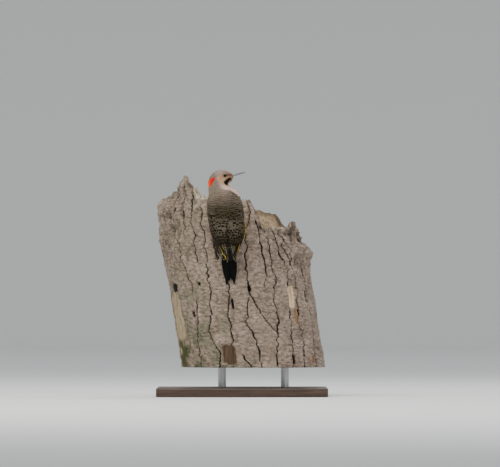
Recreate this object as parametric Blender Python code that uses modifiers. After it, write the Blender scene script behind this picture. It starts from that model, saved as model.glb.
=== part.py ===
"""Northern flicker, an adult male of the yellow-shafted form, life size and still.

The bird clings to the near side of the broken top of a dead trunk, back outwards, head turned to its
right.  A cut length of the trunk is its perch, held over a flat base by two short rods.
Metres, +Z up.  The near side of the trunk faces -Y.  The origin is the middle of the base's underside.
"""
import bpy
import bmesh
import numpy as np
from math import cos, pi, radians, sin
from mathutils import Quaternion, Vector

# ---------------------------------------------------------------- driving dimensions
GAP = 0.0003                    # play between touching pieces

BASE_SIZE = (0.380, 0.340, 0.020)
BASE_EDGE = 0.003               # rounding of the base's edges
ROD_RADIUS = 0.009
ROD_SPREAD = 0.070              # each rod's distance from the middle of the cut end

LOG_FOOT_Z = 0.065              # height of the sawn lower end
LOG_FOOT_X = 0.0253             # where the log's axis meets it
LOG_LEAN = 0.1545               # sideways shift of the axis for each metre of height
LOG_RADIUS = 0.160
LOG_COLUMNS = 76
LOG_ROWS = 10
LOG_TOP_RINGS = 6

BARK_FACE_Y = -0.159            # the bark under the bird; depths below are measured out from it
BODY_POINTS = 28                # points round each section of the body
CUT_NECK_Z = 0.449              # level of the thin cut between torso and neck
CUT_HEAD_FAN = 8.0              # fan angle of the thin cut between neck and head, degrees
CUT_TAIL_Z = 0.318              # level of the thin cut between torso and tail

FAN_X, FAN_Z = -0.012, 0.462    # line across the throat about which the head's sections fan out
HEAD_YAW = radians(-10.0)       # the bill comes a little outwards from the plane of the bark
YAW_AXIS_X, YAW_AXIS_Y = -0.049, -0.238

EYE_FAN, EYE_RADIUS_OUT = 47.8, 0.0336
EYE_BALL = 0.0041
EYE_PROUD = 0.0004

FACE_FAN, BILL_RADIUS_OUT = 74.0, 0.0270
BILL_LENGTH = 0.0288
BILL_PITCH = radians(13.5)
BILL_HALF_WIDTH = 0.0040
BILL_UP_DEPTH = 0.0040
BILL_LOW_DEPTH = 0.0032

TAIL_LENGTH_Z = 0.0715          # drop from the tail's thin cut to its longest tip
TOE_RADIUS = 0.0016
CLAW_RADIUS = 0.0010

# Sections of the body, each named for its place: level, middle x, half width, back and belly depths.
TORSO_SECTIONS = {
    "tail cut": (0.318, -0.0290, 0.0170, 0.0450, 0.0235),
    "vent": (0.327, -0.0296, 0.0205, 0.0515, 0.0205),
    "rump": (0.337, -0.0304, 0.0250, 0.0590, 0.0180),
    "flank": (0.348, -0.0306, 0.0290, 0.0670, 0.0170),
    "loin": (0.362, -0.0316, 0.0330, 0.0760, 0.0170),
    "belly": (0.385, -0.0340, 0.0355, 0.0880, 0.0210),
    "back": (0.410, -0.0364, 0.0363, 0.0960, 0.0270),
    "breast": (0.430, -0.0378, 0.0352, 0.0995, 0.0330),
    "shoulder": (0.445, -0.0392, 0.0338, 0.1015, 0.0420),
    "nape foot": (0.455, -0.0440, 0.0300, 0.1010, 0.0510),
    "neck": (0.462, -0.0485, 0.0255, 0.0990, 0.0600),
}
# Sections of the head in planes through the throat line: fan angle, inner and outer radius, half width.
HEAD_SECTIONS = {
    "neck": (0.0, 0.0110, 0.0620, 0.0195),
    "nape": (10.0, 0.0145, 0.0638, 0.0170),
    "hind crown": (24.0, 0.0168, 0.0628, 0.0150),
    "ear": (34.0, 0.0166, 0.0600, 0.0144),
    "eye": (48.0, 0.0163, 0.0515, 0.0138),
    "brow": (55.0, 0.0166, 0.0455, 0.0126),
    "forehead": (61.0, 0.0178, 0.0396, 0.0106),
    "lores": (67.0, 0.0202, 0.0347, 0.0082),
    "bill base": (74.0, 0.0228, 0.0308, 0.0054),
}
# Folded wings: level, middle x, half width, middle depth and height of the roof they form together,
# then the angles from the middle of the back at which each wing's inner and outer edges lie.
WING_SECTIONS = {
    "tip": (0.298, -0.0222, 0.0118, 0.0300, 0.0035, 70.0, 90.0),
    "primaries": (0.312, -0.0253, 0.0146, 0.0360, 0.0070, 16.0, 92.0),
    "long primaries": (0.325, -0.0278, 0.0197, 0.0395, 0.0140, 5.0, 94.0),
    "secondaries": (0.337, -0.0308, 0.0270, 0.0405, 0.0230, 2.5, 97.0),
    "tertials": (0.350, -0.0304, 0.0349, 0.0430, 0.0285, 3.5, 102.0),
    "great coverts": (0.362, -0.0314, 0.0384, 0.0465, 0.0335, 6.0, 107.0),
    "coverts": (0.385, -0.0340, 0.0402, 0.0545, 0.0370, 15.0, 114.0),
    "arm": (0.410, -0.0364, 0.0408, 0.0615, 0.0375, 28.0, 120.0),
    "forearm": (0.430, -0.0378, 0.0388, 0.0662, 0.0362, 44.0, 116.0),
    "wrist": (0.446, -0.0393, 0.0352, 0.0718, 0.0312, 76.0, 100.0),
}


# ---------------------------------------------------------------- working tools
for old in list(bpy.data.objects):
    bpy.data.objects.remove(old, do_unlink=True)
PIECES = bpy.data.collections.new("woodpecker")
CUTTERS = bpy.data.collections.new("cutters")
bpy.context.scene.collection.children.link(PIECES)
bpy.context.scene.collection.children.link(CUTTERS)


def paint(name, colour, roughness, metallic=0.0):
    """A plain Principled material."""
    made = bpy.data.materials.new(name)
    made.use_nodes = True
    shader = made.node_tree.nodes["Principled BSDF"]
    shader.inputs["Base Color"].default_value = (*colour, 1.0)
    shader.inputs["Roughness"].default_value = roughness
    shader.inputs["Metallic"].default_value = metallic
    return made


def solid(name, points, faces, material):
    """Closed mesh object from points and faces, faces turned outwards, shaded smooth."""
    mesh = bpy.data.meshes.new(name)
    mesh.from_pydata([tuple(p) for p in np.asarray(points, float)], [], faces)
    work = bmesh.new()
    work.from_mesh(mesh)
    bmesh.ops.remove_doubles(work, verts=work.verts, dist=1e-7)
    bmesh.ops.recalc_face_normals(work, faces=work.faces)
    work.to_mesh(mesh)
    work.free()
    mesh.polygons.foreach_set("use_smooth", [True] * len(mesh.polygons))
    mesh.materials.append(material)
    made = bpy.data.objects.new(name, mesh)
    PIECES.objects.link(made)
    return made


def loft(rings):
    """Points and faces of a solid through closed rings of equal count, with a flat cap at each end."""
    rings = np.asarray(rings, float)
    rows, count = rings.shape[:2]
    faces = []
    for row in range(rows - 1):
        for k in range(count):
            a = row * count + k
            b = row * count + (k + 1) % count
            faces.append((a, b, b + count, a + count))
    faces.append(tuple(range(count)))
    faces.append(tuple(range((rows - 1) * count, rows * count)))
    return rings.reshape(-1, 3), faces


def slab(top, under):
    """Points and faces of a thin solid between two grids that share their layout."""
    rows, columns = top.shape[:2]
    points = np.concatenate([top.reshape(-1, 3), under.reshape(-1, 3)])
    low = rows * columns
    faces = []
    for i in range(rows - 1):
        for j in range(columns - 1):
            a = i * columns + j
            quad = (a, a + 1, a + 1 + columns, a + columns)
            faces.append(quad)
            faces.append(tuple(low + k for k in reversed(quad)))
    rim = [j for j in range(columns)]
    rim += [i * columns + columns - 1 for i in range(1, rows)]
    rim += [(rows - 1) * columns + j for j in range(columns - 2, -1, -1)]
    rim += [i * columns for i in range(rows - 2, 0, -1)]
    for k, a in enumerate(rim):
        b = rim[(k + 1) % len(rim)]
        faces.append((a, low + a, low + b, b))
    return points, faces


def through(table, at):
    """Smooth curve through the rows of a section table, read at one value of its first column."""
    rows = np.array(sorted(table.values()))
    knots = rows[:, 0]
    slopes = np.gradient(rows, knots, axis=0)
    k = int(np.clip(np.searchsorted(knots, at) - 1, 0, len(knots) - 2))
    span = knots[k + 1] - knots[k]
    f = (at - knots[k]) / span
    return ((2 * f ** 3 - 3 * f ** 2 + 1) * rows[k] + (f ** 3 - 2 * f ** 2 + f) * span * slopes[k]
            + (3 * f ** 2 - 2 * f ** 3) * rows[k + 1] + (f ** 3 - f ** 2) * span * slopes[k + 1])


def ease(value):
    """Smooth step from 0 to 1."""
    f = np.clip(value, 0.0, 1.0)
    return f * f * (3 - 2 * f)


def boolean(target, other, how):
    """Apply an exact Boolean of other to target, then drop other."""
    cut = target.modifiers.new(how.lower(), "BOOLEAN")
    cut.operation = how
    cut.solver = "EXACT"
    cut.object = other
    done = bpy.data.meshes.new_from_object(target.evaluated_get(bpy.context.evaluated_depsgraph_get()))
    target.modifiers.clear()
    target.data = done
    bpy.data.objects.remove(other, do_unlink=True)


def tube(name, points, radii, material, collection):
    """Round rod of varying radius along a smooth path, capped, as a closed mesh."""
    curve = bpy.data.curves.new(name, "CURVE")
    curve.dimensions = "3D"
    curve.bevel_depth = 1.0
    curve.bevel_resolution = 1
    curve.resolution_u = 2
    curve.use_fill_caps = True
    path = curve.splines.new("BEZIER")
    path.bezier_points.add(len(points) - 1)
    for knot, place, radius in zip(path.bezier_points, points, radii):
        knot.co = place
        knot.radius = radius
        knot.handle_left_type = "AUTO"
        knot.handle_right_type = "AUTO"
    rope = bpy.data.objects.new(name, curve)
    collection.objects.link(rope)
    bpy.context.view_layer.update()
    mesh = bpy.data.meshes.new_from_object(rope.evaluated_get(bpy.context.evaluated_depsgraph_get()))
    bpy.data.objects.remove(rope, do_unlink=True)
    work = bmesh.new()
    work.from_mesh(mesh)
    bmesh.ops.remove_doubles(work, verts=work.verts, dist=1e-6)
    bmesh.ops.recalc_face_normals(work, faces=work.faces)
    work.to_mesh(mesh)
    work.free()
    mesh.materials.clear()
    mesh.materials.append(material)
    made = bpy.data.objects.new(name, mesh)
    collection.objects.link(made)
    return made


# ---------------------------------------------------------------- perch: the cut length of dead trunk
WOOD = paint("bark", (0.27, 0.21, 0.17), 0.9)


def log_middle(z):
    """x of the log's leaning axis at height z."""
    return LOG_FOOT_X - LOG_LEAN * (z - LOG_FOOT_Z)


def log_reach(angle, z):
    """Radius of the bark: a slow swell and lumps, a knobbly right rim and a slimmer broken top."""
    lumps = 0.0014 * sin(5 * angle + 14 * z) * cos(17 * z + 2 * angle) + 0.0008 * sin(11 * angle - 31 * z)
    knob = 0.0110 * np.exp(-((angle / 0.30) ** 2) - ((z - 0.318) / 0.013) ** 2)
    left = (abs(angle) - pi) / 0.5
    bulge = 0.0050 * np.exp(-(left ** 2) - ((z - 0.330) / 0.035) ** 2)
    slim = 0.0140 * ease((z - 0.405) / 0.04)
    return LOG_RADIUS + lumps + knob + bulge - slim


def bark(angle, z, lift=0.0):
    """Point on the bark at an angle round the log from +X and a height, raised by lift."""
    reach = log_reach(angle, z) + lift
    return Vector((log_middle(z) + reach * cos(angle), reach * sin(angle), z))


def rim(angle):
    """Height of the broken edge of the bark, angle in -pi..pi from +X; the front is -pi/2."""
    turn = np.degrees(angle)
    if turn > 0:
        return 0.333 + 0.107 * ease(turn / 180.0) + 0.004 * sin(9 * angle) * sin(angle)
    spread = 15.0 if turn < -127.0 else 8.0
    peak = 0.050 * np.exp(-abs((turn + 127.0) / spread) ** 1.5)
    second = 0.014 * np.exp(-((turn + 28.0) / 6.0) ** 2)
    break_off = 0.064 * ease((turn + 70.5) / 6.0)
    fall = 0.043 * ease((turn + 31.0) / 31.0)
    return 0.440 + peak + second - break_off - fall + 0.003 * sin(23 * angle) * sin(angle)


def heartwood(x, y):
    """Height of the splintered wood inside the rim, with one ridge that shows past the near edge."""
    slope = 0.412 - 0.095 * ease((x + 0.02) / 0.18)
    ridge = 0.034 * np.exp(-((y + 0.072) / 0.030) ** 2 - ((x - 0.058) / 0.034) ** 4)
    return slope + ridge - 0.006 * sin(90 * x + 20 * y) * cos(70 * y)


def make_log():
    """Side wall from the sawn end up to the rim, then rings inwards over the splintered top."""
    turns = -pi + 2 * pi * np.arange(LOG_COLUMNS) / LOG_COLUMNS
    rings = []
    for row in range(LOG_ROWS + 1):
        share = row / LOG_ROWS
        ring = []
        for angle in turns:
            ring.append(bark(angle, LOG_FOOT_Z + share * (rim(angle) - LOG_FOOT_Z)))
        rings.append(ring)
    for row in range(1, LOG_TOP_RINGS):
        share = 1 - row / LOG_TOP_RINGS
        ring = []
        for angle in turns:
            edge = bark(angle, rim(angle))
            middle = log_middle(0.41)
            x = middle + (edge.x - middle) * share
            y = edge.y * share
            blend = share ** 5
            ring.append((x, y, blend * edge.z + (1 - blend) * heartwood(x, y)))
        rings.append(ring)
    points, faces = loft(rings)
    hub = len(points)
    middle = log_middle(0.41)
    points = np.vstack([points, (middle, 0.0, heartwood(middle, 0.0))])
    last = faces.pop()
    for k, a in enumerate(last):
        faces.append((a, last[(k + 1) % len(last)], hub))
    return solid("perch_log", points, faces, WOOD)


make_log()


# ---------------------------------------------------------------- bird: torso, neck and head in one loft
FEATHER_BACK = paint("back_feathers", (0.13, 0.10, 0.075), 0.75)
FEATHER_HEAD = paint("head_feathers", (0.40, 0.29, 0.22), 0.8)
FEATHER_NECK = paint("neck_feathers", (0.26, 0.21, 0.17), 0.8)
FEATHER_WING = paint("wing_feathers", (0.09, 0.07, 0.05), 0.7)
FEATHER_TAIL = paint("tail_feathers", (0.012, 0.012, 0.012), 0.55)
FEATHER_LEG = paint("leg_feathers", (0.55, 0.47, 0.36), 0.8)
HORN = paint("bill_horn", (0.12, 0.13, 0.14), 0.4)
EYE = paint("eye_glass", (0.012, 0.007, 0.005), 0.08)
FOOT_SKIN = paint("foot_scales", (0.07, 0.065, 0.06), 0.55)

ROUND = np.linspace(0, 2 * pi, BODY_POINTS, endpoint=False)
TORSO_LEVELS = np.linspace(CUT_TAIL_Z + GAP / 2, CUT_NECK_Z - GAP / 2, 15)


def torso_ellipse(z):
    """Middle x, middle y, half width and half depth of the torso at height z."""
    level, middle, half, back, belly = through(TORSO_SECTIONS, z)
    return middle, BARK_FACE_Y - (back + belly) / 2, half, (back - belly) / 2


def torso_ring(z):
    """Level section of the torso and the foot of the neck."""
    x, y, half, deep = torso_ellipse(z)
    return np.stack([x + half * np.cos(ROUND), y + deep * np.sin(ROUND), np.full(BODY_POINTS, z)], 1)


def turn_head(points, fan):
    """Twist of the neck: the head's yaw grows up the neck about an upright line."""
    yaw = HEAD_YAW * ease(fan / 30.0)
    points = np.array(points, float)
    dx = points[:, 0] - YAW_AXIS_X
    dy = points[:, 1] - YAW_AXIS_Y
    points[:, 0] = YAW_AXIS_X + dx * cos(yaw) - dy * sin(yaw)
    points[:, 1] = YAW_AXIS_Y + dx * sin(yaw) + dy * cos(yaw)
    return points


def fan_point(fan, radius, side, lift=0.0):
    """Point in the fan plane: radius from the throat line, side offset in y, lift across the plane."""
    a = radians(fan)
    x = FAN_X - radius * cos(a) + lift * sin(a)
    z = FAN_Z + radius * sin(a) + lift * cos(a)
    return (x, YAW_AXIS_Y - 0.0005 + side, z)


def head_ring(fan, lift=0.0):
    """Section of the neck or head in the fan plane, as an ellipse between inner and outer radius."""
    angle, inner, outer, half = through(HEAD_SECTIONS, fan)
    middle = (inner + outer) / 2
    reach = (outer - inner) / 2
    ring = [fan_point(fan, middle - reach * cos(a), half * sin(a), lift) for a in ROUND]
    return turn_head(ring, fan)


def make_body():
    """Torso, neck and head, parted by two thin cuts."""
    solid("torso", *loft([torso_ring(z) for z in TORSO_LEVELS]), FEATHER_BACK)
    neck_levels = np.linspace(CUT_NECK_Z + GAP / 2, FAN_Z, 4)
    neck = [torso_ring(z) for z in neck_levels]
    neck += [head_ring(fan) for fan in (4.0, CUT_HEAD_FAN)]
    solid("neck", *loft(neck), FEATHER_NECK)
    head = [head_ring(CUT_HEAD_FAN, GAP)]
    head += [head_ring(fan) for fan in np.linspace(CUT_HEAD_FAN + 5.0, FACE_FAN, 13)]
    return solid("head", *loft(head), FEATHER_HEAD)


head = make_body()


def ball(name, place, radius, material, collection):
    """UV sphere."""
    bpy.ops.mesh.primitive_uv_sphere_add(segments=12, ring_count=8, radius=radius, location=place)
    made = bpy.context.active_object
    made.name = name
    made.data.name = name
    for home in list(made.users_collection):
        home.objects.unlink(made)
    collection.objects.link(made)
    made.data.materials.append(material)
    made.data.polygons.foreach_set("use_smooth", [True] * len(made.data.polygons))
    return made


# ---------------------------------------------------------------- eyes in their sockets
def make_eye(name, side):
    """Eyeball that stands a little proud of the cheek, with a socket cut in the head round it."""
    half = through(HEAD_SECTIONS, EYE_FAN)[3]
    place = turn_head([fan_point(EYE_FAN, EYE_RADIUS_OUT, side * (half - EYE_BALL + EYE_PROUD))], EYE_FAN)[0]
    socket = ball("socket", place, EYE_BALL + GAP, FEATHER_HEAD, CUTTERS)
    bpy.context.view_layer.update()
    boolean(head, socket, "DIFFERENCE")
    ball(name, place, EYE_BALL, EYE, PIECES)


make_eye("eye_right", -1)
make_eye("eye_left", 1)


# ---------------------------------------------------------------- bill
def make_bill(name, upper):
    """One mandible: a half-round section that runs to a blunt chisel tip, its root slanted to the face."""
    root = np.array(fan_point(FACE_FAN, BILL_RADIUS_OUT, 0.0))
    direction = np.array((cos(BILL_PITCH), 0.0, sin(BILL_PITCH)))
    up = np.array((-sin(BILL_PITCH), 0.0, cos(BILL_PITCH)))
    across = np.array((0.0, 1.0, 0.0))
    length = BILL_LENGTH if upper else BILL_LENGTH - 0.0012
    rings = []
    for share in np.linspace(-0.12, 1.0, 11):
        f = max(share, 0.0)
        half = BILL_HALF_WIDTH * (1 - 0.80 * f ** 0.85)
        deep = (BILL_UP_DEPTH if upper else BILL_LOW_DEPTH) * (1 - 0.80 * f ** 1.1)
        ring = []
        for a in np.linspace(0, pi, 9):
            rise = GAP / 2 + deep * sin(a) ** 0.9
            sag = -0.0006 * f ** 2
            ring.append(root + direction * (length * share) + across * (half * cos(a))
                        + up * ((rise if upper else -rise) + sag))
        rings.append(ring)
    points, faces = loft(rings)
    points = turn_head(points, FACE_FAN)
    made = solid(name, points, faces, HORN)
    normal = Vector((sin(radians(FACE_FAN)), 0.0, cos(radians(FACE_FAN))))
    normal.rotate(Quaternion((0, 0, 1), HEAD_YAW))
    return made, normal


def trim_root(made, normal):
    """Cut the root of a mandible flat, a gap in front of the face."""
    spot = turn_head([fan_point(FACE_FAN, BILL_RADIUS_OUT, 0.0, GAP)], FACE_FAN)[0]
    work = bmesh.new()
    work.from_mesh(made.data)
    everything = work.verts[:] + work.edges[:] + work.faces[:]
    done = bmesh.ops.bisect_plane(work, geom=everything, plane_co=spot, plane_no=normal, clear_inner=True)
    edges = [e for e in done["geom_cut"] if isinstance(e, bmesh.types.BMEdge)]
    bmesh.ops.holes_fill(work, edges=edges, sides=0)
    bmesh.ops.recalc_face_normals(work, faces=work.faces)
    work.to_mesh(made.data)
    work.free()


for bill_name, is_upper in (("bill_upper", True), ("bill_lower", False)):
    trim_root(*make_bill(bill_name, is_upper))


# ---------------------------------------------------------------- folded wings
def torso_reach(z, x, y, dx, dy):
    """Distance from (x, y) along (dx, dy) to the torso's far wall at height z, or zero past its end."""
    if z < CUT_TAIL_Z:
        return 0.0
    mx, my, half, deep = torso_ellipse(z)
    a = (dx / half) ** 2 + (dy / deep) ** 2
    b = 2 * ((x - mx) * dx / half ** 2 + (y - my) * dy / deep ** 2)
    c = ((x - mx) / half) ** 2 + ((y - my) / deep) ** 2 - 1
    root = b * b - 4 * a * c
    return (-b + root ** 0.5) / (2 * a) if root > 0 else 0.0


def make_wing(name, side):
    """Shell over the flank from the wrist to the primary tips, thin at its edges."""
    clear = 0.0007
    edge_thick = 0.0008
    levels = [0.298, 0.305, 0.312] + list(TORSO_LEVELS[:-1]) + [0.446]
    shares = np.linspace(0, 1, 9)
    outer = np.zeros((len(levels), len(shares), 3))
    inner = np.zeros_like(outer)
    for i, z in enumerate(levels):
        level, mx, half, mid, tall, first, last = through(WING_SECTIONS, z)
        my = BARK_FACE_Y - mid
        thickest = 0.0022 + 0.0060 * ease((z - 0.31) / 0.06)
        for j, share in enumerate(shares):
            a = radians(first + (last - first) * share)
            dx, dy = side * half * sin(a), -tall * cos(a)
            reach = (dx * dx + dy * dy) ** 0.5
            dx, dy = dx / reach, dy / reach
            near = max(torso_reach(z, mx, my, dx, dy) + clear, reach - thickest)
            full = 1 - (2 * share - 1) ** 6
            far = near + edge_thick + max(reach - near - edge_thick, 0.0) * full
            outer[i, j] = (mx + dx * far, my + dy * far, z)
            inner[i, j] = (mx + dx * near, my + dy * near, z)
    return solid(name, *slab(outer, inner), FEATHER_WING)


make_wing("wing_left", -1)
make_wing("wing_right", 1)


# ---------------------------------------------------------------- tail braced on the bark
def bark_depth(x, z):
    """How far the bark's front stands out from its reference plane at x and z."""
    angle = -pi / 2 + np.arcsin(np.clip((x - log_middle(z)) / LOG_RADIUS, -1, 1))
    return BARK_FACE_Y - bark(angle, z).y


def make_tail():
    """Closed fan of stiff feathers, roofed along the middle, forked between pointed tips."""
    rows = np.linspace(0, 1, 10)
    columns = np.linspace(-1, 1, 13)
    top = np.zeros((len(rows), len(columns), 3))
    under = np.zeros_like(top)
    start = CUT_TAIL_Z - GAP / 2
    for j, s in enumerate(columns):
        tip = 0.72
        fork = 0.020 * (1 - min(abs(s) / tip, 1.0)) ** 0.8 + 0.022 * max(abs(s) - tip, 0.0) / (1 - tip)
        notch = 0.0020 * (0.5 - 0.5 * cos(12 * pi * s))
        drop = TAIL_LENGTH_Z - fork - notch - 0.003 * (s > 0)
        for i, q in enumerate(rows):
            z = start - drop * q
            wide = 0.0148 - 0.0030 * ease((0.300 - z) / 0.05) + 0.0010 * ease((0.316 - z) / 0.02)
            x = -0.0292 + 0.0040 * ease((0.318 - z) / 0.07) + wide * s
            f = (z - (start - TAIL_LENGTH_Z)) / TAIL_LENGTH_Z
            lift = 0.0006 + 0.0262 * f ** 1.08
            root = ease(1 - q * drop / 0.016)
            thick = (0.0026 + 0.0100 * root) * (1 - 0.45 * s * s)
            low = bark_depth(x, z) + lift + 0.0006 + 0.0018 * (1 - s * s) * f
            top[i, j] = (x, BARK_FACE_Y - low - thick, z)
            under[i, j] = (x, BARK_FACE_Y - low, z)
    return solid("tail", *slab(top, under), FEATHER_TAIL)


make_tail()


# ---------------------------------------------------------------- legs and feet
def torso_clearance():
    """Copy of the torso swollen by the play, as a cutter for what meets it."""
    source = bpy.data.objects["torso"]
    mesh = source.data.copy()
    work = bmesh.new()
    work.from_mesh(mesh)
    work.normal_update()
    for v in work.verts:
        v.co += v.normal * GAP
    work.to_mesh(mesh)
    work.free()
    made = bpy.data.objects.new("torso_clearance", mesh)
    CUTTERS.objects.link(made)
    made.hide_render = True
    made.display_type = "WIRE"
    return made


def make_leg(name, side, foot_angle, foot_z, toes):
    """Feathered thigh cut clear of the torso, then the scaled foot whose toes grip the bark."""
    middle = torso_ellipse(0.350)[0]
    hip = Vector((middle + side * 0.0190, BARK_FACE_Y - 0.0300, 0.3600))
    pad = bark(foot_angle, foot_z, TOE_RADIUS + 0.0016)
    heel = Vector((middle + side * 0.0215, BARK_FACE_Y - 0.0200, foot_z + 0.0150))
    thigh = tube(name, [hip, hip.lerp(heel, 0.5) + Vector((side * 0.0020, 0, 0)), heel],
                 [0.0090, 0.0070, 0.0034], FEATHER_LEG, PIECES)
    boolean(thigh, torso_clearance(), "DIFFERENCE")
    thigh.data.polygons.foreach_set("use_smooth", [True] * len(thigh.data.polygons))
    start = heel.lerp(pad, 0.13)
    foot = tube(name.replace("leg", "foot"), [start, start.lerp(pad, 0.5), pad],
                [0.0019, 0.0017, 0.0021], FOOT_SKIN, PIECES)
    for turn, length in toes:
        way = radians(turn)
        path = [pad]
        radii = [0.0020]
        for share, swell, high in ((0.35, 1.0, 0.0012), (0.70, 0.95, 0.0004), (1.0, 0.90, 0.0006)):
            run = length * share
            place = bark(foot_angle + side * run * sin(way) / LOG_RADIUS, foot_z + run * cos(way),
                         TOE_RADIUS * swell + high + 0.0005)
            path.append(place)
            radii.append(TOE_RADIUS * swell)
        for run, high, thick in ((length + 0.0040, 0.0022, 1.0), (length + 0.0080, 0.0009, 0.35)):
            place = bark(foot_angle + side * run * sin(way) / LOG_RADIUS, foot_z + run * cos(way),
                         high + 0.0003)
            path.append(place)
            radii.append(CLAW_RADIUS * thick)
        boolean(foot, tube("toe", path, radii, FOOT_SKIN, CUTTERS), "UNION")
    foot.data.polygons.foreach_set("use_smooth", [True] * len(foot.data.polygons))


LEFT_TOES = ((-8.0, 0.015), (14.0, 0.019), (163.0, 0.017), (196.0, 0.010))
RIGHT_TOES = ((-16.0, 0.015), (8.0, 0.019), (150.0, 0.012), (190.0, 0.010))
make_leg("leg_left", -1, radians(-104.2), 0.3265, LEFT_TOES)
make_leg("leg_right", 1, radians(-90.8), 0.3330, RIGHT_TOES)


# ---------------------------------------------------------------- stand: two rods on a flat base
BASE_PAINT = paint("base_wood", (0.06, 0.035, 0.022), 0.45)
STEEL = paint("rod_steel", (0.55, 0.55, 0.56), 0.35, 1.0)


def make_stand():
    """Flat base with rounded edges, and two rods up to the log's sawn end."""
    bpy.ops.mesh.primitive_cube_add(size=1.0, location=(0, 0, BASE_SIZE[2] / 2))
    board = bpy.context.active_object
    board.name = "stand_base"
    board.data.name = "stand_base"
    for v in board.data.vertices:
        v.co = [c * s for c, s in zip(v.co, BASE_SIZE)]
    edge = board.modifiers.new("edge", "BEVEL")
    edge.width = BASE_EDGE
    edge.segments = 2
    board.data.materials.append(BASE_PAINT)
    rods = []
    for name, side in (("stand_rod_left", -1), ("stand_rod_right", 1)):
        low = BASE_SIZE[2] + GAP
        high = LOG_FOOT_Z - GAP
        bpy.ops.mesh.primitive_cylinder_add(vertices=24, radius=ROD_RADIUS, depth=high - low,
                                            location=(LOG_FOOT_X + side * ROD_SPREAD, 0, (low + high) / 2))
        rod = bpy.context.active_object
        rod.name = name
        rod.data.name = name
        rod.data.materials.append(STEEL)
        rods.append(rod)
    for made in [board] + rods:
        for home in list(made.users_collection):
            home.objects.unlink(made)
        PIECES.objects.link(made)


make_stand()
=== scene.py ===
"""Looks of the northern flicker model: the finish of the stand, the broken trunk and the feathered bird.

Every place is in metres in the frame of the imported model.  The bird clings to the near side of the trunk,
which faces -Y, and its bill points along +X.
"""

import math

import bmesh
import bpy
import numpy as np
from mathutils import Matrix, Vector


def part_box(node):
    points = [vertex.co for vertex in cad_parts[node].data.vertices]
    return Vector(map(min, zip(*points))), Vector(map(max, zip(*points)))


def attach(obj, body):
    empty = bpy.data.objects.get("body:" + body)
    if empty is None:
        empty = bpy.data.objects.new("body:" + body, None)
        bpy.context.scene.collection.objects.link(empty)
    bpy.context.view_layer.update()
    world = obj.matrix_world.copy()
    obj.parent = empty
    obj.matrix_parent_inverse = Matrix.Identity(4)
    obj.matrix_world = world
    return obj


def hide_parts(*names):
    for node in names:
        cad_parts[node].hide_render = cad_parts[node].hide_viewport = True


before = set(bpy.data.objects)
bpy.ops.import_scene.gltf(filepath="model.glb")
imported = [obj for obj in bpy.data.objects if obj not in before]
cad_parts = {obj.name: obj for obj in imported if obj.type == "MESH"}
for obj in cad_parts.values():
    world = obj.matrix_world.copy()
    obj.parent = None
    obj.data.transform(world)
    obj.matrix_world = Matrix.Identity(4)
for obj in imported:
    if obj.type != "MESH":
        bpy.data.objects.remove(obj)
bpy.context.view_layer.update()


# -------------------------------------------- stand: base board and two steel rods
# A plain board of dark stained wood with eased edges lies on the floor.  Two short rods of brushed steel
# are let into it and hold the sawn end of the trunk up from it.
class Finish:
    """A Principled material and the nodes that feed it.  Each maker returns a source, a pair of node and
    output; an input takes a number, a colour or a source."""

    def __init__(self, name):
        self.material = bpy.data.materials.new(name)
        self.material.use_nodes = True
        self.tree = self.material.node_tree

    def feed(self, node, inputs):
        """Set or join each input of a node."""
        for key, value in inputs.items():
            if isinstance(value, tuple) and isinstance(value[0], bpy.types.Node):
                self.tree.links.new(value[0].outputs[value[1]], node.inputs[key])
            else:
                node.inputs[key].default_value = value

    def add(self, kind, inputs, output=0, **settings):
        """Node of a kind, with its inputs and settings."""
        node = self.tree.nodes.new("ShaderNode" + kind)
        for key, value in settings.items():
            setattr(node, key, value)
        self.feed(node, inputs)
        return node, output

    def place(self, *stretch):
        """Object coordinates, stretched by three numbers where they are given."""
        at = self.add("TexCoord", {}, "Object")
        return self.add("Mapping", {"Vector": at, "Scale": stretch}) if stretch else at

    def attribute(self, name, output="Fac"):
        """Attribute of the mesh."""
        return self.add("Attribute", {}, output, attribute_name=name)

    def noise(self, at, scale, detail=2.0, output="Fac", **more):
        """Noise at places, by its scale and its octaves."""
        return self.add("TexNoise", {"Vector": at, "Scale": scale, "Detail": detail, **more}, output)

    def spread(self, value, low, high, start=0.0, end=1.0, way="LINEAR"):
        """Value carried from start..end to low..high, by a straight line or a smooth step, and held there."""
        return self.add("MapRange", {"Value": value, "From Min": start, "From Max": end, "To Min": low,
                                     "To Max": high}, interpolation_type=way)

    def step(self, value, start, end):
        """Smooth step of a value from 0 at start to 1 at end."""
        return self.spread(value, 0.0, 1.0, start, end, "SMOOTHSTEP")

    def ramp(self, value, *stops):
        """Colours blended between stops of (place, linear colour)."""
        node, output = self.add("ValToRGB", {"Fac": value})
        for k, (place, colour) in enumerate(stops):
            knob = node.color_ramp.elements[k] if k < 2 else node.color_ramp.elements.new(place)
            knob.position, knob.color = place, (*colour, 1.0)
        return node, output

    def mix(self, share, first, second, kind="MIX"):
        """Blend, product or sum of two colours, by a share."""
        return self.add("Mix", {0: share, 6: first, 7: second}, 2, data_type="RGBA", blend_type=kind)

    def maths(self, kind, *values):
        """One sum of up to three values."""
        return self.add("Math", dict(enumerate(values)), operation=kind)

    def bump(self, height, distance, strength=1.0, **more):
        """Normal bent by a height."""
        return self.add("Bump", {"Height": height, "Distance": distance, "Strength": strength, **more})

    def shader(self, inputs):
        """Set or join the shader's inputs; gives the finished material."""
        self.feed(self.tree.nodes["Principled BSDF"], inputs)
        return self.material


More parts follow.
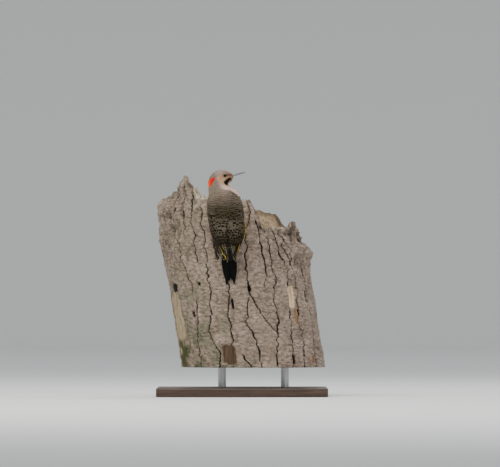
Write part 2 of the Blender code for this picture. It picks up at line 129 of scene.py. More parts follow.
def stained_wood():
    """Long fine grain along X in two browns, with pores as a slight bump under satin lacquer."""
    made = Finish("stained board")
    grain = made.noise(made.place(1.6, 26.0, 26.0), 7.0, 7.0, Distortion=1.1)
    tones = made.ramp(grain, (0.28, (0.020, 0.010, 0.006)), (0.52, (0.052, 0.027, 0.015)),
                      (0.74, (0.090, 0.050, 0.029)))
    return made.shader({"Base Color": tones, "Roughness": made.spread(grain, 0.30, 0.52),
                        "Normal": made.bump(grain, 0.0004, 0.35)})


def brushed_steel():
    """Steel with fine turning lines round the rod."""
    made = Finish("brushed rod")
    lines = made.noise(made.place(30.0, 30.0, 1800.0), 1.0, 3.0)
    tones = made.ramp(lines, (0.30, (0.36, 0.36, 0.37)), (0.70, (0.56, 0.56, 0.57)))
    return made.shader({"Metallic": 1.0, "Base Color": tones, "Roughness": made.spread(lines, 0.24, 0.42)})


def refinish(name, material):
    """Give a carried-over node its finished material."""
    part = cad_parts[name]
    part.data.materials.clear()
    part.data.materials.append(material)


refinish("stand_base", stained_wood())
ROD_FINISH = brushed_steel()
refinish("stand_rod_left", ROD_FINISH)
refinish("stand_rod_right", ROD_FINISH)


# -------------------------------------------- perch: weathered bark and broken wood
# A length of dead trunk, its bark split by wavy upright cracks into long plates with fine cross wrinkles.
# The top is snapped off: a jagged rim of bark, pale torn wood inside; the lower end is sawn flat.
LOG_FOOT_X, LOG_FOOT_Z = 0.0253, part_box("perch_log")[0][2]
LOG_LEAN = 0.1545
LOG_RADIUS = 0.160
LOG_AROUND, LOG_UP, LOG_RINGS = 452, 186, 27
FRONT_CROWDING = 0.45           # how much closer the columns stand on the near side
RIM_MIDDLE_Z = 0.41


def ease(value):
    """Smooth step: 3f squared less 2f cubed, of the value held between 0 and 1."""
    f = np.clip(value, 0.0, 1.0)
    return f * f * (3 - 2 * f)


def wrapped(angle):
    """Angle brought back between minus half a turn and half a turn."""
    return np.angle(np.exp(1j * angle))


def unit(way):
    """Directions of length one."""
    return way / np.linalg.norm(way, axis=-1, keepdims=True)


def mixed(first, second, share):
    """Blend of two colours, or of arrays of colours, by an array of shares."""
    return np.asarray(first) * (1 - share[..., None]) + np.asarray(second) * share[..., None]


def scatter(*whole):
    """Repeatable value in 0..1 for whole-number arrays: the fraction of a large sine."""
    mix = sum(w * k for w, k in zip(whole, (127.1, 311.7, 74.7, 53.3)))
    value = np.sin(mix) * 43758.5453
    return value - np.floor(value)


def mottle(x, y, z, seed=0.0):
    """Smooth noise in -1..1: corner values of the unit cube round each point, blended by smooth steps."""
    ix, iy, iz = np.floor(x), np.floor(y), np.floor(z)
    fx, fy, fz = ease(x - ix), ease(y - iy), ease(z - iz)
    total = 0.0
    for dx in (0, 1):
        for dy in (0, 1):
            for dz in (0, 1):
                share = (fx if dx else 1 - fx) * (fy if dy else 1 - fy) * (fz if dz else 1 - fz)
                total = total + share * scatter(ix + dx, iy + dy, iz + dz, seed + 0 * ix)
    return 2 * total - 1


def log_middle(z):
    """x of the leaning axis at height z."""
    return LOG_FOOT_X - LOG_LEAN * (z - LOG_FOOT_Z)


def log_reach(angle, z):
    """Radius of the trunk without its bark plates: slow lumps, a knob at the right rim, a slimmer top."""
    lumps = 0.0014 * np.sin(5 * angle + 14 * z) * np.cos(17 * z + 2 * angle) \
        + 0.0008 * np.sin(11 * angle - 31 * z)
    knob = 0.0110 * np.exp(-((angle / 0.30) ** 2) - ((z - 0.318) / 0.013) ** 2)
    left = (np.abs(angle) - math.pi) / 0.5
    bulge = 0.0050 * np.exp(-(left ** 2) - ((z - 0.330) / 0.035) ** 2)
    return LOG_RADIUS + lumps + knob + bulge - 0.0140 * ease((z - 0.405) / 0.04)


def rim(angle):
    """Height of the broken edge: a tall peak left of the bird, a step down right of it, a second peak."""
    turn = np.degrees(angle)
    spread = np.where(turn < -127.0, 15.0, 8.0)
    near = 0.440 + 0.050 * np.exp(-np.abs((turn + 127.0) / spread) ** 1.5) \
        + 0.014 * np.exp(-((turn + 28.0) / 6.0) ** 2) - 0.064 * ease((turn + 70.5) / 6.0) \
        - 0.043 * ease((turn + 31.0) / 31.0)
    far = 0.333 + 0.107 * ease(turn / 180.0) + 0.004 * np.sin(9 * angle) * np.sin(angle)
    level = np.where(turn > 0, far, near)
    c, s = np.cos(angle), np.sin(angle)
    ragged = 0.0032 * mottle(c * 22, s * 22, 0 * c, 3.0) + 0.0022 * mottle(c * 55, s * 55, 0 * c, 5.0)
    bitten = 0.0050 * np.abs(mottle(c * 38, s * 38, 0 * c, 6.0)) * ease((np.abs(turn + 127.0) - 4.0) / 6.0)
    return level + ragged - 0.0012 - bitten


def heartwood(x, y):
    """Height of the torn wood inside the rim: a slope down to the right, a ridge near the front, fibres."""
    slope = 0.412 - 0.095 * ease((x + 0.02) / 0.18)
    crest = 0.4125 - 0.040 * ease((x - 0.072) / 0.030)
    window = ease((x - 0.020) / 0.014) * (1 - ease((x - 0.094) / 0.022))
    ridge = np.maximum(crest - slope, 0) * window * np.exp(-((y + 0.062) / 0.032) ** 2)
    fibres = 0.0055 * mottle(x * 42, y * 42, 0 * x, 9.0) \
        + 0.0045 * np.abs(mottle(x * 120, y * 120, 0 * x, 4.0))
    return slope + ridge - 0.006 * np.sin(90 * x + 20 * y) * np.cos(70 * y) + fibres - 0.004


# Main cracks of the near side, each through a few (height, x) places from its top end to its foot.
CRACKS = (
    ((0.443, 0.009), (0.402, 0.018), (0.358, 0.004), (0.226, 0.020), (0.184, 0.046), (0.142, 0.075),
     (0.055, 0.083)),
    ((0.391, 0.033), (0.320, 0.048), (0.275, 0.056), (0.242, 0.054)),
    ((0.352, 0.056), (0.275, 0.072), (0.190, 0.077), (0.142, 0.080)),
    ((0.372, 0.066), (0.281, 0.101), (0.184, 0.108), (0.055, 0.117)),
    ((0.330, 0.102), (0.255, 0.124), (0.165, 0.130), (0.055, 0.144)),
    ((0.298, 0.134), (0.210, 0.149), (0.136, 0.159), (0.055, 0.168)),
    ((0.300, -0.037), (0.249, -0.028), (0.184, -0.031), (0.129, -0.018), (0.055, -0.015)),
    ((0.220, 0.011), (0.152, 0.014), (0.123, 0.035), (0.055, 0.046)),
    ((0.096, -0.006), (0.074, 0.017), (0.050, 0.019)),
    ((0.425, -0.096), (0.307, -0.080), (0.217, -0.068), (0.145, -0.073), (0.097, -0.051), (0.050, -0.048)),
    ((0.400, -0.160), (0.307, -0.135), (0.255, -0.115), (0.225, -0.112)),
    ((0.446, -0.157), (0.384, -0.152)),
    ((0.470, -0.139), (0.387, -0.131), (0.350, -0.128)),
    ((0.452, -0.119), (0.380, -0.112), (0.298, -0.103)),
    ((0.215, -0.103), (0.127, -0.097), (0.050, -0.090)),
    ((0.420, -0.066), (0.298, -0.055)),
    ((0.376, 0.074), (0.345, 0.096), (0.316, 0.117)),
    ((0.380, 0.096), (0.355, 0.120), (0.325, 0.150)),
    ((0.368, 0.118), (0.344, 0.142)),
    ((0.345, 0.088), (0.318, 0.098), (0.290, 0.112)),
)
CRACK_HALF = 0.00105


def torn_height(x, y, edge, step):
    """Height of the torn wood at a distance in from a rim of a given height: close under the rim at first,
    then falling by a smooth step to the heartwood."""
    deep = np.minimum(heartwood(x, y), edge - 0.003 + 1.4 * step)
    fall = ease((step - 0.010) / 0.030)
    return deep * fall + (1 - fall) * np.minimum(edge - 0.006, heartwood(x, y) + 0.008)


def crack_lines():
    """Height and angle of the knots of every crack: the near ones, and on the far side a line every 25 mm
    or so, from a random top to a random foot."""
    lines = []
    for knots in CRACKS:
        z = np.array([k[0] for k in knots])[::-1]
        x = np.array([k[1] for k in knots])[::-1]
        lines.append((z, -np.arccos(np.clip((x - log_middle(z)) / LOG_RADIUS, -1, 1))))
    for n in range(19):
        first, last, low, high = (float(scatter(np.array(n * 1.0), np.array(k * 1.0))) for k in range(4))
        angle = 0.10 + n * 0.164 + 0.06 * first
        z = np.array([0.03, 0.20, 0.45]) + np.array([0.11 * low * (n % 2), 0.0, -0.16 * high * ((n + 1) % 2)])
        lines.append((z, angle + np.array([0.10 * last, 0.0, -0.08 * first])))
    return lines


def crack_edge(angle, z):
    """Distance in metres to the edge of the nearest crack, negative inside it.  Each crack wanders in slow
    and quick steps to both sides of its line, and its width swells and closes on the way."""
    nearest = np.full(np.broadcast(angle, z).shape, 0.05)
    for n, (knot_z, knot_angle) in enumerate(crack_lines()):
        middle = np.interp(z, knot_z, knot_angle) * LOG_RADIUS
        tag = 0 * z + 13.0 * n
        middle = middle + 0.0042 * mottle(tag, z * 42, tag) + 0.0030 * mottle(tag, z * 120, tag + 3) \
            + 0.0013 * mottle(tag, z * 330, tag + 5)
        half = 0.95 + 0.75 * mottle(tag, z * 60, tag + 7) + 0.35 * mottle(tag, z * 260, tag + 9)
        past = np.maximum(z - knot_z[-1], knot_z[0] - z)
        half = np.maximum(CRACK_HALF * half, 0.00070) - 0.0020 * ease(past / 0.012 + 0.5)
        across = wrapped(angle - middle / LOG_RADIUS) * LOG_RADIUS
        nearest = np.minimum(nearest, np.abs(across) - half)
    return nearest


def bark_relief(angle, z):
    """Height of the bark over the trunk's radius, its distance to a crack's edge, and 0 to 1 for the painted
    shade
    of the hollows between its lumps: plates between the cracks, cross wrinkles, and lumps that grow towards
    the rim and both shoulders."""
    c, s = np.cos(angle) * LOG_RADIUS, np.sin(angle) * LOG_RADIUS
    gap = crack_edge(angle, z)
    near_rim = ease(1 - (rim(angle) - z) / 0.07)
    right = 1.5 * np.exp(-((angle + 0.42) / 0.36) ** 2) * ease((z - 0.255) / 0.06)
    left = np.exp(-((np.abs(angle) - 2.65) / 0.55) ** 2) * ease((z - 0.24) / 0.12)
    rough = np.maximum(np.maximum(near_rim, left), right)
    dome = 0.0012 * (1 - np.exp(-(np.maximum(gap, 0) / 0.0030) ** 2)) - 0.0042 * ease(0.55 - gap / 0.0013)
    wrinkle = 0.00062 * mottle(c * 34, s * 34, z * 150, 8.0) + 0.00042 * mottle(c * 80, s * 80, z * 330, 2.0)
    lumps = (0.0010 + 0.0034 * rough) * mottle(c * 75, s * 75, z * 75, 4.0) \
        + (0.0007 + 0.0026 * rough) * mottle(c * 170, s * 170, z * 150, 5.0)
    # 0 to 1 in the low places among the lumps and wrinkles, used only to paint shade into the bark's hollows
    hollow_shade = np.clip(-(lumps + wrinkle) / (0.0016 + 0.0034 * rough), 0, 1) \
        * (0.10 + 0.90 * np.minimum(rough, 1))
    return dome + wrinkle + lumps - 0.0013 - 0.0008 * rough, gap, hollow_shade


# Marks on the near side: angle, height, half sizes along the bark and upwards, and depth of each.  Inside
# each, the wood is painted near-black as the shade in the hole.
BARK_HOLES = {
    "knot hole": (-126.0, 0.2500, 0.0042, 0.0046, 0.004),
    "split": (-83.5, 0.2400, 0.0038, 0.0085, 0.007),
    "lower split": (-99.0, 0.2060, 0.0034, 0.0130, 0.006),
    "lost bark": (-160.0, 0.2420, 0.0190, 0.0110, 0.006),
    "mossy hole": (-136.0, 0.1830, 0.0056, 0.0072, 0.004),
    "worn slot": (-27.0, 0.2230, 0.0060, 0.0120, 0.005),
    "beetle hole": (-54.0, 0.0830, 0.0048, 0.0110, 0.006),
}
BARE_WOOD = {
    "pale strip": (-47.0, 0.2200, 0.0096, 0.0260, (0.82, 0.58, 0.37)),
    "lower strip": (-43.8, 0.1790, 0.0066, 0.0170, (0.34, 0.20, 0.10)),
    "brown window": (-108.0, 0.0935, 0.0165, 0.0215, (0.105, 0.064, 0.036)),
    "stripped edge": (-169.0, 0.1400, 0.0380, 0.0920, (0.47, 0.36, 0.21)),
    "torn rim": (-112.0, 0.4530, 0.0230, 0.0150, (0.62, 0.52, 0.35)),
    "small window": (-30.0, 0.0830, 0.0060, 0.0095, (0.36, 0.16, 0.08)),
}


def patch(angle, z, spec, softness=0.22):
    """1 inside an upright rounded box on the bark, 0 outside: the fourth-power norm, with a ragged edge that
    wanders more round a wide box."""
    middle, level, wide, high = spec[:4]
    turn = wrapped(angle - math.radians(middle)) * LOG_RADIUS / wide
    norm = (turn ** 4 + ((z - level) / high) ** 4) ** 0.25
    c, s = np.cos(angle), np.sin(angle)
    norm = norm + 0.16 * mottle(c * 30, s * 30, z * 190, 6.0)
    norm = norm + 0.40 * ease((wide - 0.024) / 0.010) * mottle(c * 7, s * 7, z * 34, 7.0)
    return ease((1 - norm) / softness + 0.5)


def bark_point(angle, z):
    """Point on the bark's outer face, its distance to a crack's edge and its painted shade in the hollows."""
    height, gap, hollow_shade = bark_relief(angle, z)
    for hole in BARK_HOLES.values():
        height = height - hole[4] * patch(angle, z, hole, 0.5)
    for bare in BARE_WOOD.values():
        flat = patch(angle, z, bare)
        height = height * (1 - flat) - 0.0042 * flat
    reach = log_reach(angle, z) + height
    point = np.stack([log_middle(z) + reach * np.cos(angle), reach * np.sin(angle), z + 0 * reach], -1)
    return point, gap, hollow_shade


def crossed(first, second):
    """Two parameters over a grid: the first changes from row to row, the second along each row."""
    return np.meshgrid(first, second, indexing="ij")


def round_turn(count):
    """Angles spaced evenly round a full turn."""
    return np.linspace(0, 2 * math.pi, count, endpoint=False)


def grid_faces(rows, columns, wrap):
    """Quads between the points of a grid of rows, joined round the end of each row if it wraps."""
    i, j = crossed(np.arange(rows - 1), np.arange(columns if wrap else columns - 1))
    k = (j + 1) % columns
    quads = np.stack([i * columns + j, i * columns + k, (i + 1) * columns + k, (i + 1) * columns + j], -1)
    return quads.reshape(-1, 4)


def put_mesh(name, points, quads, material, extra=(), smooth=True):
    """Mesh object from points, an array of quads and a list of other faces."""
    mesh = bpy.data.meshes.new(name)
    faces = quads.tolist() + [tuple(face) for face in extra]
    mesh.from_pydata(points.reshape(-1, 3).tolist(), [], faces)
    mesh.polygons.foreach_set("use_smooth", np.full(len(mesh.polygons), smooth))
    mesh.materials.append(material)
    made = bpy.data.objects.new(name, mesh)
    bpy.context.scene.collection.objects.link(made)
    return made


def tint(made, name, values, vector=False):
    """Store a number, a colour or a vector for each vertex of a piece."""
    values = np.asarray(values, np.float32)
    kind, key = ("FLOAT_VECTOR", "vector") if vector else ("FLOAT_COLOR", "color")
    if values.ndim == 1:
        kind, key = "FLOAT", "value"
    elif values.shape[1] == 3 and not vector:
        values = np.concatenate([values, np.ones((len(values), 1), np.float32)], 1)
    made.data.attributes.new(name, kind, "POINT").data.foreach_set(key, values.ravel())


def bark_finish():
    """Greyish brown bark with cracks painted near-black as their shade, fine cross wrinkles whose lows are
    darkened partly by their own tone and partly as painted shade, and painted shade in its hollows; torn wood
    shows its fibres.
    The crack attribute is a distance, so its edge stays sharp between vertices."""
    made = Finish("bark and torn wood")
    wood = made.attribute("wood")
    bark = made.ramp(made.noise(made.place(), 26.0, 5.0), (0.25, (0.258, 0.192, 0.146)),
                     (0.48, (0.352, 0.266, 0.203)), (0.75, (0.460, 0.356, 0.276)))
    bark = made.mix(made.attribute("lichen"), bark, (0.205, 0.190, 0.120, 1.0))
    # Painted shade: the hollows between the bark's lumps are darkened, down to 0.30 of the colour
    bark = made.mix(1.0, bark, made.spread(made.attribute("hollow_shade"), 1.04, 0.30), "MULTIPLY")
    scaly = made.place(62.0, 62.0, 118.0)
    warped = made.mix(1.0, scaly, made.noise(scaly, 1.4, 4.0, "Color"), "ADD")
    scales = made.add("TexVoronoi", {"Vector": warped, "Scale": 1.0}, feature="DISTANCE_TO_EDGE")
    hairline = made.spread(scales, 0.62, 1.0, 0.0, 0.09, "SMOOTHSTEP")
    bark = made.mix(0.45, bark, hairline, "MULTIPLY")
    # The wrinkles' noise lowers the bump and darkens the colour in the same places: partly the bark's own
    # tone, partly painted shade in the wrinkles' lows
    wrinkles = made.noise(made.place(98.0, 98.0, 205.0), 1.0, 9.0, Roughness=0.66)
    bark = made.mix(0.85, bark, made.spread(wrinkles, 0.36, 1.10, 0.37, 0.58), "MULTIPLY")
    # Painted shade: where the crack distance is below zero, with a gritty edge, the bark is painted
    # near-black as the shade in the crack
    grit = made.noise(made.place(), 420.0, 4.0)
    edge = made.maths("MULTIPLY_ADD", grit, 0.0016, made.attribute("crack"))
    dark = made.step(made.maths("ADD", edge, -0.0008), 0.0008, -0.0001)
    bark = made.mix(dark, bark, (0.018, 0.013, 0.010, 1.0))
    fibre = made.noise(made.place(260.0, 260.0, 22.0), 1.0, 6.0)
    torn = made.mix(1.0, made.attribute("wood_colour", "Color"), made.spread(fibre, 0.35, 1.15, 0.28, 0.66),
                    "MULTIPLY")
    moss = made.maths("MULTIPLY", made.attribute("moss"), wrinkles)
    colour = made.mix(moss, made.mix(wood, bark, torn), (0.058, 0.068, 0.019, 1.0))
    height = made.add("Mix", {0: wood, 2: made.maths("MULTIPLY", wrinkles, hairline), 3: fibre},
                      data_type="FLOAT")
    relief = made.bump(grit, 0.0006, 0.5, Normal=made.bump(height, 0.0065))
    return made.shader({"Specular IOR Level": 0.25, "Base Color": colour, "Normal": relief,
                        "Roughness": made.spread(wrinkles, 0.80, 0.98)})


def make_log():
    """Rows from the sawn end up to the rim, over the bark's edge and inwards to a closed middle."""
    t = np.arange(LOG_AROUND) / LOG_AROUND
    angle = wrapped(-math.pi / 2 + 2 * math.pi * (t - 0.5) - FRONT_CROWDING * np.sin(2 * math.pi * (t - 0.5)))
    share = np.linspace(0, 1, LOG_UP)[:, None]
    z = LOG_FOOT_Z + share * (rim(angle)[None] - LOG_FOOT_Z)
    a = np.broadcast_to(angle, z.shape)
    wall, gap, hollow_shade = bark_point(angle[None] + 0 * z, z)
    wall[0, :, 2] = LOG_FOOT_Z
    middle, edge = log_middle(RIM_MIDDLE_Z), wall[-1]
    inward = unit(np.stack([middle - edge[:, 0], -edge[:, 1]], -1))
    full = np.hypot(edge[:, 0] - middle, edge[:, 1])
    steps = np.concatenate([[0.0018, 0.0050, 0.0085, 0.0105], np.linspace(0.016, 0.146, LOG_RINGS - 4)])
    rings = []
    for step in steps:
        step = np.minimum(step * full / 0.1515, full * 0.97)
        x, y = edge[:, 0] + inward[:, 0] * step, edge[:, 1] + inward[:, 1] * step
        bark_top = edge[:, 2] - 0.0016 * (step / 0.005) ** 2
        blend = ease((step - 0.0075) / 0.0070)
        wood_top = torn_height(x, y, edge[:, 2], step)
        rings.append(np.stack([x, y, bark_top * (1 - blend) + wood_top * blend], -1))
    rows = LOG_UP + len(steps)
    base = rows * LOG_AROUND + 1
    hub = np.array([[middle, 0.0, float(heartwood(np.array([middle]), np.array([0.0]))[0])]])
    centre = np.array([log_middle(LOG_FOOT_Z), 0.0, LOG_FOOT_Z])
    sawn = [wall[0] + (centre - wall[0]) * f for f in (0.04, 0.5, 0.94)]
    points = np.concatenate([wall.reshape(-1, 3), *rings, hub, *sawn, centre[None]])
    k = np.arange(LOG_AROUND)
    nxt = np.roll(k, -1)
    under = [0, base, base + LOG_AROUND, base + 2 * LOG_AROUND]
    foot = [np.stack([low + nxt, low + k, high + k, high + nxt], -1) for low, high in zip(under, under[1:])]
    top_ring = base - 1 - LOG_AROUND
    caps = np.concatenate([np.stack([top_ring + k, top_ring + nxt, 0 * k + base - 1], -1),
                           np.stack([under[3] + nxt, under[3] + k, 0 * k + len(points) - 1], -1)])
    quads = np.concatenate([grid_faces(rows, LOG_AROUND, True), *foot])
    made = put_mesh("perch_bark", points, quads, bark_finish(), caps.tolist())

    bare, holes = np.zeros(z.shape), np.zeros(z.shape)
    bare_colour = np.tile(np.array([0.36, 0.28, 0.185]), (*z.shape, 1))
    for spec in BARE_WOOD.values():
        part = patch(a, z, spec)
        bare = np.maximum(bare, part)
        bare_colour = mixed(bare_colour, spec[4], part)
    for spec in BARK_HOLES.values():
        holes = np.maximum(holes, patch(a, z, spec, 0.5))
    c, s = np.cos(a), np.sin(a)
    overgrown = patch(a, z, BARE_WOOD["stripped edge"]) * ease((0.132 - z) / 0.014) \
        * ease(0.6 + 0.9 * mottle(c * 12, s * 12, z * 60, 4.0))
    # Painted shade: the wood colour inside each hole is darkened almost to black; the foot of the stripped
    # edge is darkened where moss grows over it
    bare_colour *= ((1 - 0.88 * overgrown) * (1 - 0.985 * holes))[..., None]
    x, y = points[:, 0], points[:, 1]
    stain = ease(0.5 + 0.9 * mottle(x * 17, y * 17, 0 * x, 12.0))
    rot = ease(0.15 + 1.1 * mottle(x * 31, y * 31, 0 * x, 15.0))
    colour = mixed(mixed((0.53, 0.44, 0.30), (0.34, 0.235, 0.135), stain), (0.060, 0.038, 0.022), 0.75 * rot)
    colour[base:] = 0.40, 0.30, 0.19
    colour[:z.size] = bare_colour.reshape(-1, 3)
    mossy = np.exp(-((np.abs(a) - 2.55) / 0.22) ** 2) * ease((0.155 - z) / 0.05) * ease((-a - 0.5) / 0.3) \
        * ease(0.4 + 1.6 * mottle(c * 14, s * 14, z * 90, 17.0))
    shady = np.exp(-((np.abs(a) - 2.5) / 0.75) ** 2) * (0.35 + 0.65 * ease((0.30 - z) / 0.12)) \
        * ease(0.5 - a) * ease(0.62 + 0.9 * mottle(c * 9, s * 9, z * 40, 23.0))
    inside = np.repeat(ease((steps - 0.0015) / 0.006), LOG_AROUND)
    wood = np.concatenate([np.maximum(bare, holes).ravel(), inside, np.ones(len(points) - base + 1)])
    tint(made, "wood", wood)
    tint(made, "wood_colour", colour)
    moss = np.clip(1.5 * mossy + 1.7 * overgrown, 0, 2.0)
    for name, values, rest in (("hollow_shade", hollow_shade, 0.0), ("crack", gap, 0.02), ("moss", moss, 0.0),
                               ("lichen", shady, 0.0)):
        tint(made, name, np.concatenate([values.ravel(), np.full(len(points) - z.size, rest)]))
    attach(made, "root")
    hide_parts("perch_log")


make_log()


def splinter_finish():
    """Pale torn wood, its fibres drawn out along the splinter, greyed here and there."""
    made = Finish("torn splinters")
    fibre = made.noise(made.place(900.0, 900.0, 60.0), 1.0, 5.0)
    tones = made.ramp(fibre, (0.28, (0.16, 0.105, 0.060)), (0.50, (0.46, 0.36, 0.23)),
                      (0.72, (0.66, 0.56, 0.40)))
    return made.shader({"Roughness": 0.85, "Base Color": tones, "Normal": made.bump(fibre, 0.0005)})


# Foot, direction, length and half width of the splinters at the left shoulder and behind the bird.
NAMED_SPLINTERS = (
    (-0.171, -0.030, 0.440, -1.0, 0.0, 0.55, 0.013, 0.0016),
    (-0.101, -0.105, 0.450, 0.10, -0.1, 1.0, 0.016, 0.0042),
    (-0.092, -0.112, 0.441, -0.25, 0.0, 1.0, 0.013, 0.0036),
    (-0.108, -0.100, 0.452, -0.55, 0.0, 1.0, 0.018, 0.0048),
    (-0.083, -0.116, 0.438, -0.05, 0.0, 1.0, 0.013, 0.0030),
    (-0.076, -0.118, 0.437, 0.15, 0.0, 1.0, 0.010, 0.0026))


def make_splinters():
    """Shards of torn wood inside the rim: each a tapering four-sided blade that leans a little, its root
    sunk in the wood.  Six named ones stand at the left shoulder and behind the bird."""
    n = np.arange(150) * 1.0
    angle = -math.pi + 2 * math.pi * scatter(n, n * 0 + 1)
    inset = 0.010 + 0.006 * scatter(n, n * 0 + 2)
    size = 0.006 + 0.012 * scatter(n, n * 0 + 3) ** 2
    wide = 0.0010 + 0.0022 * scatter(n, n * 0 + 4)
    lean = 0.5 * (scatter(n, n * 0 + 5) - 0.5)
    reach = log_reach(angle, rim(angle)) - inset
    x, y = log_middle(rim(angle)) + reach * np.cos(angle), reach * np.sin(angle)
    foot = np.stack([x, y, torn_height(x, y, rim(angle), inset) - 0.002], -1)
    way = np.stack([lean * np.sin(angle), lean * np.cos(angle), 1 + 0 * n], -1)
    named = np.array(NAMED_SPLINTERS)
    foot, way = np.concatenate([foot, named[:, :3]]), unit(np.concatenate([way, named[:, 3:6]]))
    size, wide = np.concatenate([size, named[:, 6]]), np.concatenate([wide, named[:, 7]])
    right = unit(np.cross(way, [0.0, -1.0, 0.0]))
    deep = np.cross(right, way)
    along = np.array([-0.6, 0.0, 0.5, 0.85, 1.0])
    girth = np.array([1.0, 1.0, 0.75, 0.35, 0.05])
    count, rows = len(foot), len(along)
    bend = 0.10 * along ** 2 * (scatter(np.arange(count) * 1.0, np.ones(count)) - 0.5)[:, None]
    run = along[:, None] * way[:, None] + bend[..., None] * right[:, None]
    spine = foot[:, None] + size[:, None, None] * run
    sides = np.stack([right, 0.45 * deep, -right, -0.45 * deep], 1)
    points = spine[:, :, None] + wide[:, None, None, None] * girth[:, None, None] * sides[:, None]
    base = (np.arange(count) * rows * 4)[:, None]
    quads = (grid_faces(rows, 4, True)[None] + base[..., None]).reshape(-1, 4)
    ends = np.concatenate([base + np.array([3, 2, 1, 0]), base + (rows - 1) * 4 + np.array([0, 1, 2, 3])])
    made = put_mesh("perch_splinters", points, np.concatenate([quads, ends]), splinter_finish(), smooth=False)
    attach(made, "root")
    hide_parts("perch_log")


make_splinters()


# -------------------------------------------- bird: one skin under all the feathers
# The skin of trunk, neck and head in one piece, with the folded wings' flesh and the thighs grown
# into it.  It lies inside the coat by the coat's depth and carries the same markings as the coat.
BARK_FACE_Y = -0.159            # the bark under the bird; depths are measured out from it
TORSO_FOOT, FAN_FOOT = 0.318, 0.462
DEGREES_PER_METRE = 1280.0      # of the fan of head sections, for each metre of station
FAN_X = -0.012
YAW_X, YAW_Y = -0.049, -0.238   # the upright line that the head turns about
FAN_OFF_Y = -0.0005             # the head's middle plane in front of that line
HEAD_YAW = math.radians(-10.0)
HEAD_END = (FAN_FOOT - TORSO_FOOT) + 74.0 / DEGREES_PER_METRE
# Level, middle x, half width, depth of the back and depth of the belly.
TRUNK = ((0.300, -0.0286, 0.0080, 0.0335, 0.0245), (0.307, -0.0287, 0.0130, 0.0400, 0.0245),
         (0.318, -0.0290, 0.0170, 0.0450, 0.0235), (0.327, -0.0296, 0.0205, 0.0515, 0.0205),
         (0.337, -0.0304, 0.0250, 0.0590, 0.0180), (0.348, -0.0306, 0.0290, 0.0670, 0.0170),
         (0.362, -0.0316, 0.0330, 0.0760, 0.0170), (0.385, -0.0340, 0.0355, 0.0880, 0.0210),
         (0.410, -0.0364, 0.0363, 0.0960, 0.0270), (0.430, -0.0378, 0.0352, 0.0995, 0.0330),
         (0.445, -0.0392, 0.0338, 0.1015, 0.0420), (0.455, -0.0440, 0.0300, 0.1010, 0.0510),
         (0.462, -0.0485, 0.0255, 0.0990, 0.0600))
# Fan angle in degrees, inner radius, outer radius and half width.
HEAD = ((0.0, 0.0110, 0.0620, 0.0195), (10.0, 0.0145, 0.0638, 0.0170), (24.0, 0.0168, 0.0628, 0.0150),
        (34.0, 0.0166, 0.0600, 0.0144), (48.0, 0.0163, 0.0515, 0.0138), (55.0, 0.0166, 0.0455, 0.0126),
        (61.0, 0.0178, 0.0396, 0.0106), (67.0, 0.0202, 0.0347, 0.0082), (74.0, 0.0228, 0.0308, 0.0054),
        (77.0, 0.0244, 0.0292, 0.0036))
# Level, middle x, half width, depth of the middle, height of the roof, first and last angle.
WING = ((0.298, -0.0222, 0.0118, 0.0300, 0.0035, 70, 90), (0.312, -0.0253, 0.0146, 0.0360, 0.0070, 16, 92),
        (0.325, -0.0278, 0.0197, 0.0395, 0.0140, 5, 94), (0.337, -0.0308, 0.0270, 0.0405, 0.0230, 2.5, 97),
        (0.350, -0.0304, 0.0349, 0.0430, 0.0285, 3.5, 102), (0.362, -0.0314, 0.0384, 0.0465, 0.0335, 6, 107),
        (0.385, -0.0340, 0.0402, 0.0545, 0.0370, 15, 114), (0.410, -0.0364, 0.0408, 0.0615, 0.0375, 28, 116),
        (0.430, -0.0378, 0.0388, 0.0662, 0.0362, 44, 108), (0.446, -0.0393, 0.0352, 0.0718, 0.0312, 70, 98))
SKIN_UP, SKIN_AROUND = 190, 128
WING_COAT, WING_FLESH = 0.0022, 0.0060          # outer and inner face of a wing's flesh under its coverts


def through(table, at):
    """Rows of a table read at any values of its first column: cubic pieces between the rows, whose slope
    at each row is that of its two neighbours."""
    rows = np.array(table, float)
    knots = rows[:, 0]
    slopes = np.gradient(rows, knots, axis=0)
    at = np.clip(at, knots[0], knots[-1])
    k = np.clip(np.searchsorted(knots, at) - 1, 0, len(knots) - 2)
    span = (knots[k + 1] - knots[k])[..., None]
    f = ((at - knots[k])[..., None]) / span
    return ((2 * f ** 3 - 3 * f ** 2 + 1) * rows[k] + (f ** 3 - 2 * f ** 2 + f) * span * slopes[k]
            + (3 * f ** 2 - 2 * f ** 3) * rows[k + 1] + (f ** 3 - f ** 2) * span * slopes[k + 1])


def turn_head(x, y, z, fan):
    """Yaw that grows up the neck about an upright line by a smooth step over 30 degrees of fan."""
    yaw = HEAD_YAW * ease(fan / 30.0)
    c, s, dx, dy = np.cos(yaw), np.sin(yaw), x - YAW_X, y - YAW_Y
    return np.stack([YAW_X + dx * c - dy * s, YAW_Y + dx * s + dy * c, z], -1)


def fan_of(station):
    """Fan angle in degrees at a station; below the neck's foot it is negative."""
    return (station - (FAN_FOOT - TORSO_FOOT)) * DEGREES_PER_METRE


def coat_depth(station):
    """How far the skin lies under the tips of the coat: deep on the trunk, thin on the face."""
    return 0.0016 - 0.0004 * ease((station - 0.115) / 0.03) - 0.0004 * ease((station - 0.150) / 0.035)


def paired(first, second):
    """Two parameters as arrays of one shape."""
    return np.broadcast_arrays(np.asarray(first, float), np.asarray(second, float))


